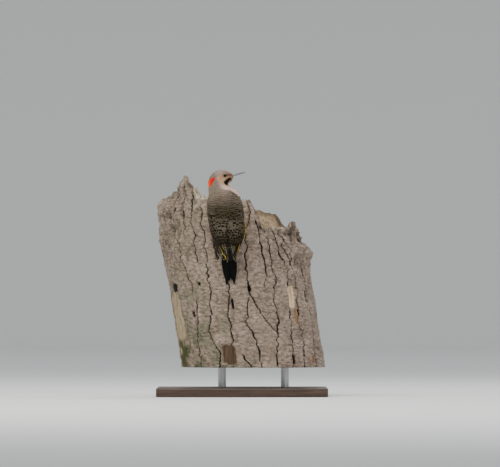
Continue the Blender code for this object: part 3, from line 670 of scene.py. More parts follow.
def body(station, around, depth=0.0):
    """Body surface by station up from the vent and angle around.  Below the throat line the sections are
    level ellipses, above it ellipses in planes that turn about that line, and the head's yaw follows."""
    station, around = paired(station, around)
    low = through(TRUNK, TORSO_FOOT + np.minimum(station, FAN_FOOT - TORSO_FOOT))
    half = low[..., 2] - depth
    deep = (low[..., 3] - low[..., 4]) / 2 - depth
    trunk = np.stack([low[..., 1] + half * np.cos(around),
                      BARK_FACE_Y - (low[..., 3] + low[..., 4]) / 2 + deep * np.sin(around),
                      TORSO_FOOT + station], -1)
    fan = np.maximum(fan_of(station), 0.0)
    high = through(HEAD, fan)
    middle = (high[..., 1] + high[..., 2]) / 2
    reach = (high[..., 2] - high[..., 1]) / 2 - depth
    radius = middle - reach * np.cos(around)
    side = (high[..., 3] - depth) * np.sin(around)
    a = np.radians(fan)
    head = turn_head(FAN_X - radius * np.cos(a), YAW_Y + FAN_OFF_Y + side, FAN_FOOT + radius * np.sin(a), fan)
    return np.where((fan > 0)[..., None], head, trunk)


def head_spot(fan, radius, side):
    """Place in a fan plane: its distance from the throat line and its offset to a side."""
    a = math.radians(fan)
    return turn_head(FAN_X - radius * math.cos(a), YAW_Y + FAN_OFF_Y + side, FAN_FOOT + radius * math.sin(a),
                     fan)


def trunk_reach(z, x, y, dx, dy):
    """Distance from (x, y) along (dx, dy) to the trunk's far wall: the larger root of a quadratic."""
    row = through(TRUNK, np.maximum(z, TORSO_FOOT))
    half, deep = row[..., 2], (row[..., 3] - row[..., 4]) / 2
    ox, oy = x - row[..., 1], y - (BARK_FACE_Y - (row[..., 3] + row[..., 4]) / 2)
    a = (dx / half) ** 2 + (dy / deep) ** 2
    b = 2 * (ox * dx / half ** 2 + oy * dy / deep ** 2)
    c = (ox / half) ** 2 + (oy / deep) ** 2 - 1
    root = np.maximum(b * b - 4 * a * c, 0.0)
    return np.where(z < TORSO_FOOT - 0.002, 0.0, (-b + np.sqrt(root)) / (2 * a))


def wing(side, inset):
    """Surface of a folded wing by height and share across it from the back to the breast: an ellipse's arc
    about an axis inside the bird, held off the trunk, and inset under the tips of the coverts."""
    def surface(z, share):
        z, share = paired(z, share)
        row = through(WING, z)
        a = np.radians(row[..., 5] + (row[..., 6] - row[..., 5]) * share)
        dx, dy = side * row[..., 2] * np.sin(a), -row[..., 4] * np.cos(a)
        reach = np.hypot(dx, dy)
        dx, dy = dx / reach, dy / reach
        x, y = row[..., 1], BARK_FACE_Y - row[..., 3]
        near = trunk_reach(z, x, y, dx, dy) + 0.0007
        full = 1 - (2 * np.clip(share, 0, 1) - 1) ** 6
        far = near + 0.0008 + np.maximum(reach - near - 0.0008, 0.0) * full
        far = np.where(z < TORSO_FOOT, reach, far)
        r = np.maximum(far - inset, near - 0.0003)
        return np.stack([x + dx * r, y + dy * r, z], -1)
    return surface


# Height and angle from the middle of the back where each wing's coverts end: the left wing is shut, the right
# one slips back at the shoulder and bares the breast's side.
LEFT_EDGE = ((0.415, 114.0), (0.450, 102.0))
RIGHT_EDGE = ((0.385, 114.0), (0.396, 101.0), (0.410, 86.0), (0.420, 79.0), (0.431, 74.0), (0.444, 67.0),
              (0.455, 60.0), (0.466, 52.0))


def wing_edge(z, side):
    """Angle in degrees at which a wing's coverts end, read off its table by straight lines."""
    return np.where(side > 0, np.interp(z, *np.transpose(RIGHT_EDGE)), np.interp(z, *np.transpose(LEFT_EDGE)))


def head_plane(station, around):
    """Places on the head seen square from its side: forward and up, before the neck's yaw."""
    fan = np.maximum(fan_of(station), 0.0)
    row = through(HEAD, fan)
    radius = (row[..., 1] + row[..., 2]) / 2 - (row[..., 2] - row[..., 1]) / 2 * np.cos(around)
    a = np.radians(fan)
    low = np.minimum(fan_of(station), 0.0) / DEGREES_PER_METRE
    return FAN_X - radius * np.cos(a), FAN_FOOT + radius * np.sin(a) + low


def streak(forward, up, start, end, half, half_end):
    """1 inside a straight streak between two places, 0 outside: distance to the segment over its half
    width, which changes from start to end."""
    run = (end[0] - start[0], end[1] - start[1])
    dx, dy = forward - start[0], up - start[1]
    f = np.clip((dx * run[0] + dy * run[1]) / (run[0] ** 2 + run[1] ** 2), 0, 1)
    gap = np.hypot(dx - f * run[0], dy - f * run[1])
    return ease(3.0 - 2.5 * gap / (half + (half_end - half) * f))


def head_marks(station, around):
    """Shares of the malar stripe, nape crescent, eye line and crown at places on the head."""
    fan = fan_of(station)
    turn = np.abs(np.degrees(wrapped(around)))
    forward, up = head_plane(station, around)
    malar = streak(forward, up, (-0.0318, 0.4732), (-0.0240, 0.4800), 0.0047, 0.0025) \
        * ease((turn - 17.0) / 9.0)
    nape = streak(forward, up, (-0.0765, 0.4690), (-0.0590, 0.4822), 0.0078, 0.0026)
    lores = streak(forward, up, (-0.0195, 0.4880), (-0.0300, 0.4885), 0.0018, 0.0030)
    crown = ease((turn - 100.0) / 14.0) * ease((fan - 10.0) / 10.0) * (1 - ease((fan - 50.0) / 16.0))
    return malar, nape, lores, crown


def ground_colour(station, around):
    """Colour of the coat before its bars and spots, from the tail's root up to the face, and the share of
    the pale front."""
    point = body(station, around)
    z = point[..., 2]
    fan = fan_of(station)
    turn = np.degrees(wrapped(around))
    rise = ease((station - 0.112) / 0.03)
    middle = 90.0 - 70.0 * rise - 20.0 * ease(fan / 12.0)
    off = np.abs(np.degrees(wrapped(np.radians(turn - middle))))
    front = ease((92.0 + 20.0 * ease((station - 0.07) / 0.03) - 30.0 * rise - off) / 16.0)
    colour = mixed((0.110, 0.086, 0.057), (0.060, 0.049, 0.032), ease((0.41 - z) / 0.05))
    colour = mixed(colour, (0.245, 0.196, 0.150), ease((station - 0.124) / 0.012))
    under = mixed((0.70, 0.60, 0.46), (0.80, 0.56, 0.455), ease((station - 0.06) / 0.07))
    under = mixed(under, (0.80, 0.76, 0.67), ease((0.022 - station) / 0.012))
    forward, level = head_plane(station, around)
    throat = ease((forward + 0.056) / 0.018) * ease((station - 0.1385 + 0.10 * (forward + 0.045)) / 0.007)
    colour = mixed(colour, under, np.maximum(front * (1 - ease((fan - 6.0) / 10.0)), throat))
    colour = mixed(colour, (0.82, 0.80, 0.76), (1 - front) * ease((0.034 - station) / 0.008))
    colour = mixed(colour, (0.014, 0.012, 0.010), (1 - front) * ease((0.020 - station) / 0.006))
    face = mixed((0.56, 0.338, 0.212), (0.37, 0.215, 0.130), ease((fan - 36.0) / 20.0))
    chin = ease((26.0 - np.abs(turn)) / 12.0) * (1 - ease((fan - 38.0) / 10.0))
    face = mixed(face, (0.80, 0.60, 0.47), 0.8 * chin)
    behind_eye = streak(forward, level, (-0.0435, 0.4840), (-0.0345, 0.4985), 0.0044, 0.0040)
    forehead = streak(forward, level, (-0.0345, 0.4985), (-0.0200, 0.4950), 0.0040, 0.0030)
    face = mixed(face, (0.40, 0.238, 0.148), 0.6 * np.maximum(behind_eye, forehead))
    cheek = ease((fan - 7.0 - 15.0 * ease((np.abs(turn) - 50.0) / 60.0)) / 9.0)
    colour = mixed(colour, face, cheek)
    malar, nape, lores, crown = head_marks(station, around)
    # Grey crown, lightened towards the top of the head by a painted highlight
    crown_and_highlight = mixed((0.248, 0.190, 0.158), (0.450, 0.340, 0.276), ease((fan - 24.0) / 22.0))
    colour = mixed(colour, crown_and_highlight, crown)
    colour = mixed(colour, (0.15, 0.085, 0.050), 0.75 * lores)
    # The nape's red turns orange towards the outline at the back of the head: a painted rim highlight
    rim_lit = ease((np.abs(turn) - 132.0) / 34.0)
    colour = mixed(colour, mixed((0.78, 0.009, 0.004), (0.95, 0.170, 0.040), rim_lit), nape)
    colour = mixed(colour, (0.011, 0.010, 0.010), malar)
    bib_turn = (turn - 74.0) / 50.0
    bib = ease(2.5 - 2.1 * np.hypot(bib_turn, (station - 0.1165 - 0.012 * bib_turn ** 2) / 0.0085))
    return mixed(colour, (0.012, 0.011, 0.011), bib), front


def skin_finish():
    """Dull down between the feathers' roots, in the darkened colours of the coat, with a soft fine nap."""
    made = Finish("skin and down")
    nap = made.noise(made.place(), 900.0, 3.0)
    colour = made.mix(1.0, made.attribute("ground", "Color"), made.spread(nap, 0.55, 1.05), "MULTIPLY")
    return made.shader({"Roughness": 0.9, "Specular IOR Level": 0.15, "Base Color": colour,
                        "Normal": made.bump(nap, 0.0005)})


EYE_FAN, EYE_OUT, EYE_BALL = 47.8, 0.0336, 0.0041
EYE_SIDE = float(through(HEAD, np.array(EYE_FAN))[3]) - EYE_BALL + 0.0004
EYES = {"right": head_spot(EYE_FAN, EYE_OUT, -EYE_SIDE), "left": head_spot(EYE_FAN, EYE_OUT, EYE_SIDE)}


def eye_gap(points):
    """Distance from points to the nearer eye's axis, measured along the head only where they are near it."""
    gaps = []
    for eye in EYES.values():
        axis = np.array([math.sin(HEAD_YAW), -math.cos(HEAD_YAW), 0.0])
        step = points - eye
        flat = step - (step @ axis)[..., None] * axis
        far = np.linalg.norm(step, axis=-1) > 0.009
        gaps.append(np.where(far, 1.0, np.linalg.norm(flat, axis=-1)))
    return np.minimum(*gaps)


def bake_map(made, corner_uv):
    """UV map for baking, from one place for each corner of each face."""
    layer = made.data.uv_layers.new(name="OFBake")
    layer.data.foreach_set("uv", np.asarray(corner_uv, np.float32).ravel())


def corners_of(made):
    """Vertex index of each face corner."""
    found = np.empty(len(made.data.loops), np.int64)
    made.data.loops.foreach_get("vertex_index", found)
    return found


def grid_uv(rows, columns, box):
    """Corner places of the quads of a wrapped grid, spread over a box of the map."""
    x0, y0, x1, y1 = box
    i, j = np.divmod(np.arange((rows - 1) * columns), columns)
    cells = np.stack([np.stack([j, j + 1, j + 1, j], 1) / columns * (x1 - x0) + x0,
                      np.stack([i, i, i + 1, i + 1], 1) / (rows - 1) * (y1 - y0) + y0], -1)
    return cells.reshape(-1, 2)


LEGS_MIDDLE = -0.0306
FOOT_Z = {1: 0.3330, -1: 0.3265}        # level of the pads of the right and the left foot


def heel_of(side):
    """Place of a heel, behind and above the foot's pad."""
    return np.array([LEGS_MIDDLE + side * 0.0215, BARK_FACE_Y - 0.0200, FOOT_Z[side] + 0.0150])


def thigh(side):
    """Tapering tube of the thigh by share up it and angle around, bent outwards in the middle."""
    hip, heel = np.array([LEGS_MIDDLE + side * 0.0190, BARK_FACE_Y - 0.0300, 0.3600]), heel_of(side)

    def surface(share, around):
        share, around = paired(share, around)
        down = 1 - share
        spine = hip + (heel - hip) * down[..., None]
        spine = spine + np.array([side * 0.0020, 0, 0]) * (4 * down * (1 - down))[..., None]
        radius = 0.0082 - 0.0054 * np.clip(down, 0, 1) ** 1.1
        return spine + np.stack([radius * np.cos(around), radius * np.sin(around), 0 * radius], -1)
    return surface


def closed_tube(grid, ends=None):
    """Points, quads and end triangles of a grid that wraps round in its second parameter.  Each end is closed
    to a middle point, the mean of its ring unless two ends are given."""
    rows, columns = grid.shape[:2]
    ends = (grid[0].mean(0), grid[-1].mean(0)) if ends is None else ends
    k, hub = np.arange(columns), rows * columns
    nxt, last = np.roll(k, -1), hub - columns
    caps = np.concatenate([np.stack([nxt, k, 0 * k + hub], -1),
                           np.stack([last + k, last + nxt, 0 * k + hub + 1], -1)])
    return np.concatenate([grid.reshape(-1, 3), ends]), grid_faces(rows, columns, True), caps


def make_skin():
    """Body loft, two slabs for the folded wings and two thigh tubes, in one mesh."""
    s, a = crossed(np.linspace(-0.017, HEAD_END + 0.002, SKIN_UP), round_turn(SKIN_AROUND))
    point = body(s, a, coat_depth(s))
    gap = eye_gap(point)
    centre = (body(s, 0 * a, 0.004) + body(s, 0 * a + math.pi, 0.004)) / 2
    socket = 0.0016 * np.exp(-(gap / 0.0030) ** 4) - 0.00035 * np.exp(-((gap - 0.0040) / 0.0009) ** 2)
    colour = 0.55 * ground_colour(s, a)[0]
    colour = np.concatenate([colour.reshape(-1, 3), colour[0, :1], colour[-1, :1]])
    parts = [(point + unit(centre - point) * socket[..., None], colour, (0.0, 0.0, 1.0, 0.72), 0.73)]
    for n, side in enumerate((-1, 1)):
        zz, ss = crossed(np.linspace(0.305, 0.440, 60), np.linspace(0.03, 1.0, 26))
        row = through(WING, zz)
        ss = ss * np.clip((wing_edge(zz, side) - 2.0 - row[..., 5]) / (row[..., 6] - row[..., 5]), 0.08, 0.97)
        ring = np.concatenate([wing(side, WING_COAT)(zz, ss), wing(side, WING_FLESH)(zz, ss)[:, ::-1]], 1)
        parts.append((ring[:, ::side], (0.030, 0.022, 0.015), (0.3 * n, 0.76, 0.28 + 0.3 * n, 0.98), 0.74))
    for n, side in enumerate((-1, 1)):
        tube = thigh(side)(*crossed(np.linspace(0.02, 1.0, 14), round_turn(20)))
        parts.append((tube, (0.34, 0.28, 0.21), (0.62 + 0.19 * n, 0.76, 0.79 + 0.19 * n, 0.98), 0.75))
    base, points, quads, caps, colours, quad_uv, cap_uv = 0, [], [], [], [], [], []
    for grid, tone, box, level in parts:
        some, faces, ends = closed_tube(grid)
        points.append(some)
        quads.append(faces + base)
        caps += (ends + base).tolist()
        colours.append(np.broadcast_to(tone, some.shape))
        quad_uv.append(grid_uv(*grid.shape[:2], box))
        cap_uv.append(np.tile([[0.02, level], [0.03, level], [0.025, level + 0.005]], (len(ends), 1)))
        base += len(some)
    made = put_mesh("bird_skin", np.concatenate(points), np.concatenate(quads), skin_finish(), caps)
    tint(made, "ground", np.concatenate(colours))
    bake_map(made, np.concatenate(quad_uv + cap_uv))
    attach(made, "root")
    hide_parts("torso", "neck", "head", "wing_left", "wing_right", "leg_left", "leg_right")


make_skin()


# -------------------------------------------- eyes
# Glass balls, the iris dark brown round a black pupil.  Each is set into a hollow of the face, where a ring
# of bare grey lid skin holds it and draws out to a corner in front and behind.
def eye_frame(side):
    """Outward axis of an eye and two directions across it."""
    sign = -1.0 if side == "right" else 1.0
    out = sign * np.array([-math.sin(HEAD_YAW), math.cos(HEAD_YAW), 0.0])
    tilt = math.radians(6.0)
    out = out * math.cos(tilt) + np.array([math.cos(HEAD_YAW), math.sin(HEAD_YAW), 0.0]) * math.sin(tilt)
    up = np.array([0.0, 0.0, 1.0])
    along = np.cross(up, out)
    return out, unit(along), up


def eye_finish():
    """Dark brown iris with fine flecks round a black pupil, under clear glass."""
    made = Finish("glass eye")
    black = (0.0008, 0.0007, 0.0007)
    tones = made.ramp(made.attribute("disc"), (0.0, black), (0.40, black), (0.44, (0.030, 0.009, 0.003)),
                      (0.62, (0.014, 0.005, 0.002)), (0.70, (0.002, 0.0015, 0.0015)))
    colour = made.mix(0.5, tones, made.noise(made.place(), 1500.0, output="Color"), "MULTIPLY")
    return made.shader({"Roughness": 0.12, "Specular IOR Level": 0.10, "Base Color": colour})


def lid_finish():
    """Bare grey lid skin with fine wrinkles."""
    made = Finish("lid skin")
    lines = made.noise(made.place(), 1800.0)
    tones = made.ramp(lines, (0.3, (0.012, 0.009, 0.008)), (0.7, (0.040, 0.030, 0.024)))
    return made.shader({"Roughness": 0.6, "Base Color": tones, "Normal": made.bump(lines, 0.0001)})


def make_eye(side, glass, lid):
    """Ball of rings about the outward axis, and a lid: a ring whose section is an ellipse, pulled to a
    point at its front and back corners."""
    centre = EYES[side]
    out, along, up = eye_frame(side)
    t, r = crossed(np.linspace(0.02, math.pi - 0.02, 30), round_turn(48))
    ball = centre + EYE_BALL * (np.cos(t)[..., None] * out + np.sin(t)[..., None]
                                * (np.cos(r)[..., None] * along + np.sin(r)[..., None] * up))
    points, quads, caps = closed_tube(ball, (centre + EYE_BALL * out, centre - EYE_BALL * out))
    made = put_mesh("eye_ball_" + side, points, quads, glass, caps.tolist())
    disc = np.where(np.cos(t) > 0, np.sin(t), 1.0)
    tint(made, "disc", np.concatenate([disc.ravel(), [0.0, 1.0]]))
    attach(made, "root")
    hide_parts("eye_" + side)
    a, b = crossed(round_turn(56), round_turn(10))
    open_ = 0.00315 + 0.00035 * np.abs(np.cos(a)) ** 6 - 0.00022 * np.abs(np.sin(a)) ** 2
    rise = np.sqrt(EYE_BALL ** 2 - open_ ** 2) + 0.00005 + 0.00034 * np.sin(b)
    ring = open_ + 0.00042 * np.cos(b)
    spot = centre + rise[..., None] * out + ring[..., None] * (np.cos(a)[..., None] * along
                                                               + np.sin(a)[..., None] * up)
    lid_piece = put_mesh("eyelid_" + side, spot, grid_faces(57, 10, True) % (56 * 10), lid)
    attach(lid_piece, "root")


GLASS, LID = eye_finish(), lid_finish()
make_eye("right", GLASS, LID)
make_eye("left", GLASS, LID)


# -------------------------------------------- bill
# A slate-grey chisel of horn: the upper mandible is ridged along the culmen and grooved to the nostril,
# the lower one fits close under it.
BILL_PITCH = math.radians(13.5)


def horn_finish():
    """Slate horn, paler at the root, with fine growth lines and a dull polish."""
    made = Finish("slate horn")
    lines = made.noise(made.place(), 900.0, 4.0)
    tones = made.ramp(made.attribute("share"), (0.0, (0.240, 0.235, 0.232)), (0.30, (0.160, 0.168, 0.180)),
                      (1.0, (0.060, 0.062, 0.068)))
    colour = made.mix(1.0, tones, made.spread(lines, 0.65, 1.25), "MULTIPLY")
    return made.shader({"Base Color": colour, "Roughness": made.spread(lines, 0.28, 0.5),
                        "Normal": made.bump(lines, 0.0001, 0.4)})


def make_mandible(name, upper, horn):
    """Half-round section with a flat biting face, drawn along the bill and narrowed to a chisel; the upper
    one has a ridge on top, a groove on each side and a nostril pit."""
    root = head_spot(74.0, 0.0270, 0.0)
    forward = np.array([math.cos(BILL_PITCH), 0.0, math.sin(BILL_PITCH)])
    up = np.array([-math.sin(BILL_PITCH), 0.0, math.cos(BILL_PITCH)])
    length, height, sign = (0.0288, 0.0040, 1.0) if upper else (0.0276, 0.0032, -1.0)
    arc = np.concatenate([np.linspace(0, math.pi, 22), np.linspace(math.pi, 2 * math.pi, 8)[1:-1]])
    f, a = crossed(np.linspace(-0.06, 1.0, 40), arc)
    g = np.clip(f, 0, 1)
    half, deep = 0.0040 * (1 - 0.80 * g ** 0.85), height * (1 - 0.80 * g ** 1.1)
    off = np.abs(a - math.pi / 2)
    nostril = upper * np.exp(-((f - 0.085) / 0.030) ** 2 - ((off - 0.90) / 0.16) ** 2)
    dent = (1 - 0.10 * upper * np.exp(-((off - 0.85) / 0.16) ** 2) * (1 - g)) * (1 - 0.22 * nostril)
    ridge = 1 + 0.06 * upper * np.exp(-(off / 0.16) ** 2)
    arched = a <= math.pi
    rise = 0.00006 + np.where(arched, deep * np.abs(np.sin(a)) ** 0.85 * ridge * dent, 0.0)
    wide = half * np.cos(a) * np.where(arched, dent, 1.0)
    step = (length * f)[..., None] * forward + (sign * rise - 0.0006 * g ** 2)[..., None] * up
    dx, dy = step[..., 0], wide
    points, quads, caps = closed_tube(np.stack([
        root[0] + dx * math.cos(HEAD_YAW) - dy * math.sin(HEAD_YAW),
        root[1] + dx * math.sin(HEAD_YAW) + dy * math.cos(HEAD_YAW), root[2] + step[..., 2]], -1))
    turn = -1 if upper else 1
    made = put_mesh(name, points, quads[:, ::turn], horn, caps[:, ::turn].tolist())
    tint(made, "share", np.concatenate([(g + 0.6 * nostril).ravel(), [0.0, 1.0]]))
    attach(made, "root")
    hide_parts("bill_upper" if upper else "bill_lower")


HORN = horn_finish()
make_mandible("upper_mandible", True, HORN)
make_mandible("lower_mandible", False, HORN)


# -------------------------------------------- head: short soft feathers
# Each feather is a thin closed vane, rooted in the skin and lying back along it with its tip at the coat's
# face.  They are smallest round the bill and eye and grow towards the nape and throat.
def vane_form(across, along, outline):
    """Feather of one piece by u across (-1 to 1) and v along (0 at the root, 1 at the tip): a cambered top
    grid, one flat strip of quads under it, and a face at each end.  The outline gives the width at v."""
    v, u = crossed(along, across)
    rows, columns = u.shape
    i, j = crossed(np.arange(rows - 1), np.arange(columns - 1))
    k = (i * columns + j).ravel()
    top = np.stack([k, k + columns, k + columns + 1, k + 1], -1)
    r = np.arange(rows - 1) * columns
    under = np.stack([r, r + columns - 1, r + 2 * columns - 1, r + columns], -1)
    root_end = list(range(columns))
    tip_end = [(rows - 1) * columns + c for c in range(columns)][::-1]
    return {"u": u.ravel(), "v": v.ravel(), "width": np.interp(v.ravel(), *outline),
            "quads": np.concatenate([top, under]), "ends": (root_end, tip_end)}


ROUND_TIP = ((0.0, 0.25, 0.5, 0.72, 0.88, 0.97, 1.0), (0.35, 0.85, 1.0, 0.97, 0.78, 0.45, 0.22))
SMALL_VANE = vane_form(np.array([-1.0, 0.0, 1.0]), np.array([0.0, 0.45, 0.82, 1.0]),
                       ((0.0, 0.45, 0.82, 1.0), (0.5, 1.0, 0.82, 0.25)))
SHORT_VANE = vane_form(np.array([-1.0, -0.5, 0.0, 0.5, 1.0]), np.array([0.0, 0.3, 0.58, 0.80, 0.93, 1.0]),
                       ROUND_TIP)


def slopes_of(surface, p, q, dp=1e-4, dq=1e-3):
    """Point of a surface, its slopes over two small steps, and its normal."""
    here = surface(p, q)
    along = (surface(p + dp, q) - here) / dp
    across = (surface(p, q + dq) - here) / dq
    normal = np.cross(across, along)
    return here, along, across, normal / np.maximum(np.linalg.norm(normal, axis=-1, keepdims=True), 1e-12)


def lay(surface, form, p0, q0, length, width, lift, drift=0.0, arch=0.12, roll=0.0, turn=1, q_limits=None,
        tip=None, shaft=0.0, sink=0.0):
    """Feathers of one form on a surface.  Each runs down the surface from its root (p0, q0) by its length,
    shifted sideways by its drift at the tip, or to a given tip (p1, q1); its width is laid off on both
    sides of that line.  Its height over the surface goes from lift[0] at the root to lift[1] at the tip,
    plus a camber of arch times the half width, a roll from edge to edge and a raised shaft; sink pushes
    the root third down under what covers it."""
    count, size = len(p0), len(form["u"])

    def column(value):
        """One number for each feather, beside its vertices."""
        return np.broadcast_to(np.asarray(value, float), (count,))[:, None]

    _, along0, across0, _ = slopes_of(surface, p0, q0)
    if tip is None:
        p1 = p0 - length / np.maximum(np.linalg.norm(along0, axis=-1), 0.2)
        q1 = q0 + drift / np.linalg.norm(across0, axis=-1)
    else:
        p1, q1 = tip
    u, v, w = form["u"][None], form["v"][None], form["width"][None]
    p = p0[:, None] + (p1 - p0)[:, None] * v
    line = q0[:, None] + (q1 - q0)[:, None] * v
    _, _, across, _ = slopes_of(surface, p, line)
    scale = np.maximum(np.linalg.norm(across, axis=-1), 1e-3)
    half = column(width) / 2
    q = line + u * w * half / scale
    if q_limits is not None:
        q = np.clip(q, *q_limits)
    here, _, _, normal = slopes_of(surface, p, q)
    low, high = column(lift[0]), column(lift[1])
    sunk = column(sink) * (1 - ease(v / 0.45))
    height = low + (high - low) * v - sunk + arch * (1 - u ** 2) * w * half + roll * u
    height = height + shaft * (np.abs(u) < 0.03) * (1 - 0.6 * v)
    points = here + turn * height[..., None] * normal
    first = (np.arange(count) * size)[:, None]
    quads = (form["quads"][None] + first[..., None]).reshape(-1, 4)
    ends = [np.array(end)[None] + first for end in form["ends"]]
    if turn < 0:
        quads = quads[:, ::-1]
        ends = [e[:, ::-1] for e in ends]
    return {"points": points.reshape(-1, 3), "quads": quads, "ends": ends, "count": count, "size": size,
            "u": np.broadcast_to(u, (count, size)).ravel(), "v": np.broadcast_to(v, (count, size)).ravel(),
            "across": (u * w * half).ravel(), "along": (v * column(length)).ravel(),
            "to_tip": ((1 - v) * column(length)).ravel()}


def plume_finish():
    """Feather surface: ground colour with its bars or spots, a shaft line, a pale hem round the tip, a darker
    root and slanting barbs as fine streaks and relief.  All numbers are each feather's attributes."""
    made = Finish("plumage")
    maths, step = made.maths, made.step

    def parts(name):
        """The three numbers of a vector attribute."""
        node, _ = made.add("SeparateXYZ", {0: made.attribute(name, "Vector")})
        return (node, 0), (node, 1), (node, 2)

    across, along, to_tip = parts("vane")
    bar_at, bar_half, period = parts("bar")
    spot_at, spot_half, bend = parts("spot")
    web_across, web_along, seed = parts("barb")
    off = maths("ABSOLUTE", across)
    bent = maths("MULTIPLY_ADD", maths("MULTIPLY", across, across), bend, along)
    half_period = maths("MULTIPLY", period, 0.5)
    from_bar = maths("ADD", maths("SUBTRACT", bent, bar_at), half_period)
    from_bar = maths("SUBTRACT", maths("FLOORED_MODULO", from_bar, period), half_period)
    bar_share = maths("DIVIDE", from_bar, bar_half)
    side_share = maths("DIVIDE", maths("SUBTRACT", off, spot_at), spot_half)
    ring = maths("MULTIPLY_ADD", bar_share, bar_share, maths("MULTIPLY", side_share, side_share))
    ragged = maths("MULTIPLY_ADD", made.noise(made.place(), 900.0), 0.5, maths("SQRT", ring))
    colour = made.mix(step(ragged, 1.42, 1.12), made.attribute("ground", "Color"),
                      made.attribute("mark", "Color"))
    slant = maths("MULTIPLY_ADD", maths("ABSOLUTE", web_across), -0.9, web_along)
    lines = made.add("CombineXYZ", {0: maths("MULTIPLY", slant, 3200.0),
                                    1: maths("MULTIPLY", web_across, 160.0), 2: seed})
    streak = made.noise(lines, 1.0)
    tone = maths("MULTIPLY", made.spread(streak, 0.74, 1.16, 0.3, 0.7),
                 made.spread(along, 0.55, 1.12, 0.10, 0.95, "SMOOTHSTEP"))
    colour = made.mix(1.0, colour, tone, "MULTIPLY")
    core = maths("MULTIPLY", step(off, 0.115, 0.065), made.attribute("shaft", "Alpha"))
    colour = made.mix(core, colour, made.attribute("shaft", "Color"))
    side_hem = maths("MULTIPLY", step(off, 0.66, 0.88), step(to_tip, 0.016, 0.008))
    margin = maths("MAXIMUM", side_hem, step(to_tip, 0.0026, 0.0010))
    colour = made.mix(maths("MULTIPLY", margin, made.attribute("hem", "Alpha")), colour,
                      made.attribute("hem", "Color"))
    return made.shader({"Roughness": 0.72, "Specular IOR Level": 0.08, "Base Color": colour,
                        "Normal": made.bump(streak, 0.00025, 0.34)})


PLUMAGE = plume_finish()


def each(values, group, wide):
    """Repeat one row of a given width, or one row for each feather, over all vertices of the feathers."""
    rows = np.broadcast_to(np.asarray(values, float), (group["count"], wide))
    return np.repeat(rows, group["size"], axis=0)


def dress(group, ground, home, mark=(0.014, 0.011, 0.009), bar=(0.5, 1e-3, 9.0), spot=(5.0, 0.2, 0.0),
          shaft=None, patch=0.003, hem=(0.0, 0.0, 0.0, 0.0)):
    """Attach colours and pattern to laid feathers: bar is (place, half thickness, period) as shares of the
    length, spot is (place across, half width, bend), hem is the colour and strength of the tip's margin.
    home is the root's place on the bake map."""
    group["ground"] = each(ground, group, 3)
    group["mark"] = each(mark, group, 3)
    tinted = np.full((group["count"], 4), (0.05, 0.05, 0.05, 0.0))
    if shaft is not None:
        tinted[:, :3], tinted[:, 3] = shaft, 1.0
    group["shaft"] = each(tinted, group, 4)
    group["hem"] = each(hem, group, 4)
    group["bar"] = each(bar, group, 3)
    group["spot"] = each(spot, group, 3)
    seed = scatter(np.arange(group["count"]) * 1.0, 0.0 * np.arange(group["count"])) * 50
    group["barb"] = np.stack([group["across"], group["along"], np.repeat(seed, group["size"])], -1)
    group["home"] = each(home, group, 2)
    group["patch"] = patch


def make_plumes(name, groups, slot, *nodes):
    """One mesh of all groups with their attributes and the bake map: each feather is a patch at its
    root's place on the unrolled skin."""
    base, quads, ends = 0, [], []
    for g in groups:
        quads.append(g["quads"] + base)
        for e in g["ends"]:
            ends += [tuple(f) for f in (e + base).tolist()]
        base += g["count"] * g["size"]
    gather = lambda key: np.concatenate([g[key] for g in groups])
    made = put_mesh(name, gather("points"), np.concatenate(quads), PLUMAGE, ends)
    for key in ("ground", "mark", "shaft", "hem"):
        tint(made, key, gather(key))
    tint(made, "vane", np.stack([gather("u"), gather("v"), gather("to_tip")], -1), vector=True)
    for key in ("bar", "spot", "barb"):
        tint(made, key, gather(key), vector=True)
    patch = np.repeat([g["patch"] for g in groups], [g["count"] * g["size"] for g in groups])
    spot = gather("home") + patch[:, None] * np.stack([gather("u") * 0.5, 0.5 - gather("v")], -1)
    bake_map(made, spot[corners_of(made)])
    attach(made, "root")
    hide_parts(*nodes)


def length_along(path):
    """Distance run along a path of points, from nought at its start."""
    return np.concatenate([[0], np.cumsum(np.linalg.norm(np.diff(path, axis=0), axis=1))])


def spaced(ring, values, pitch, n):
    """Values at places a pitch apart along a ring of points; every other ring starts half a pitch on."""
    run = length_along(ring)
    count = max(int(round(run[-1] / pitch)), 3)
    return np.interp((np.arange(count) + 0.25 + 0.5 * (n % 2)) / count * run[-1], run, values)


def rows_on_body(stations, pitch, seed=0.0):
    """Staggered rows of root places round the body, a pitch apart along each row, each moved a little."""
    fine = np.linspace(-math.pi, math.pi, 200)
    rings = [spaced(body(np.full(200, station), fine), fine, pitch, n) for n, station in enumerate(stations)]
    counts = [len(ring) for ring in rings]
    p, q, row = np.repeat(stations, counts), np.concatenate(rings), np.repeat(np.arange(len(rings)), counts)
    k = np.arange(len(p)) * 1.0
    p = p + (scatter(k, row * 1.0 + seed) - 0.5) * 0.22 * abs(stations[1] - stations[0])
    q = q + (scatter(k + 7, row * 1.0 + seed) - 0.5) * 0.05
    return p, q, row, k


def body_home(p, q):
    """Root's place on the unrolled body: angle around across the map, station up it."""
    return 0.02 + 0.96 * np.stack([(q + math.pi) / (2 * math.pi), (p + 0.02) / (HEAD_END + 0.024)], -1)


def pull(p, q):
    """How much closer rows stand on the inside of the bent neck: surface metres for a metre of station."""
    return np.linalg.norm((body(p + 1e-4, q) - body(p, q)) / 1e-4, axis=-1)


def skin_surface(station, around):
    """Body surface at the skin, under the coat's depth."""
    return body(station, around, coat_depth(station))


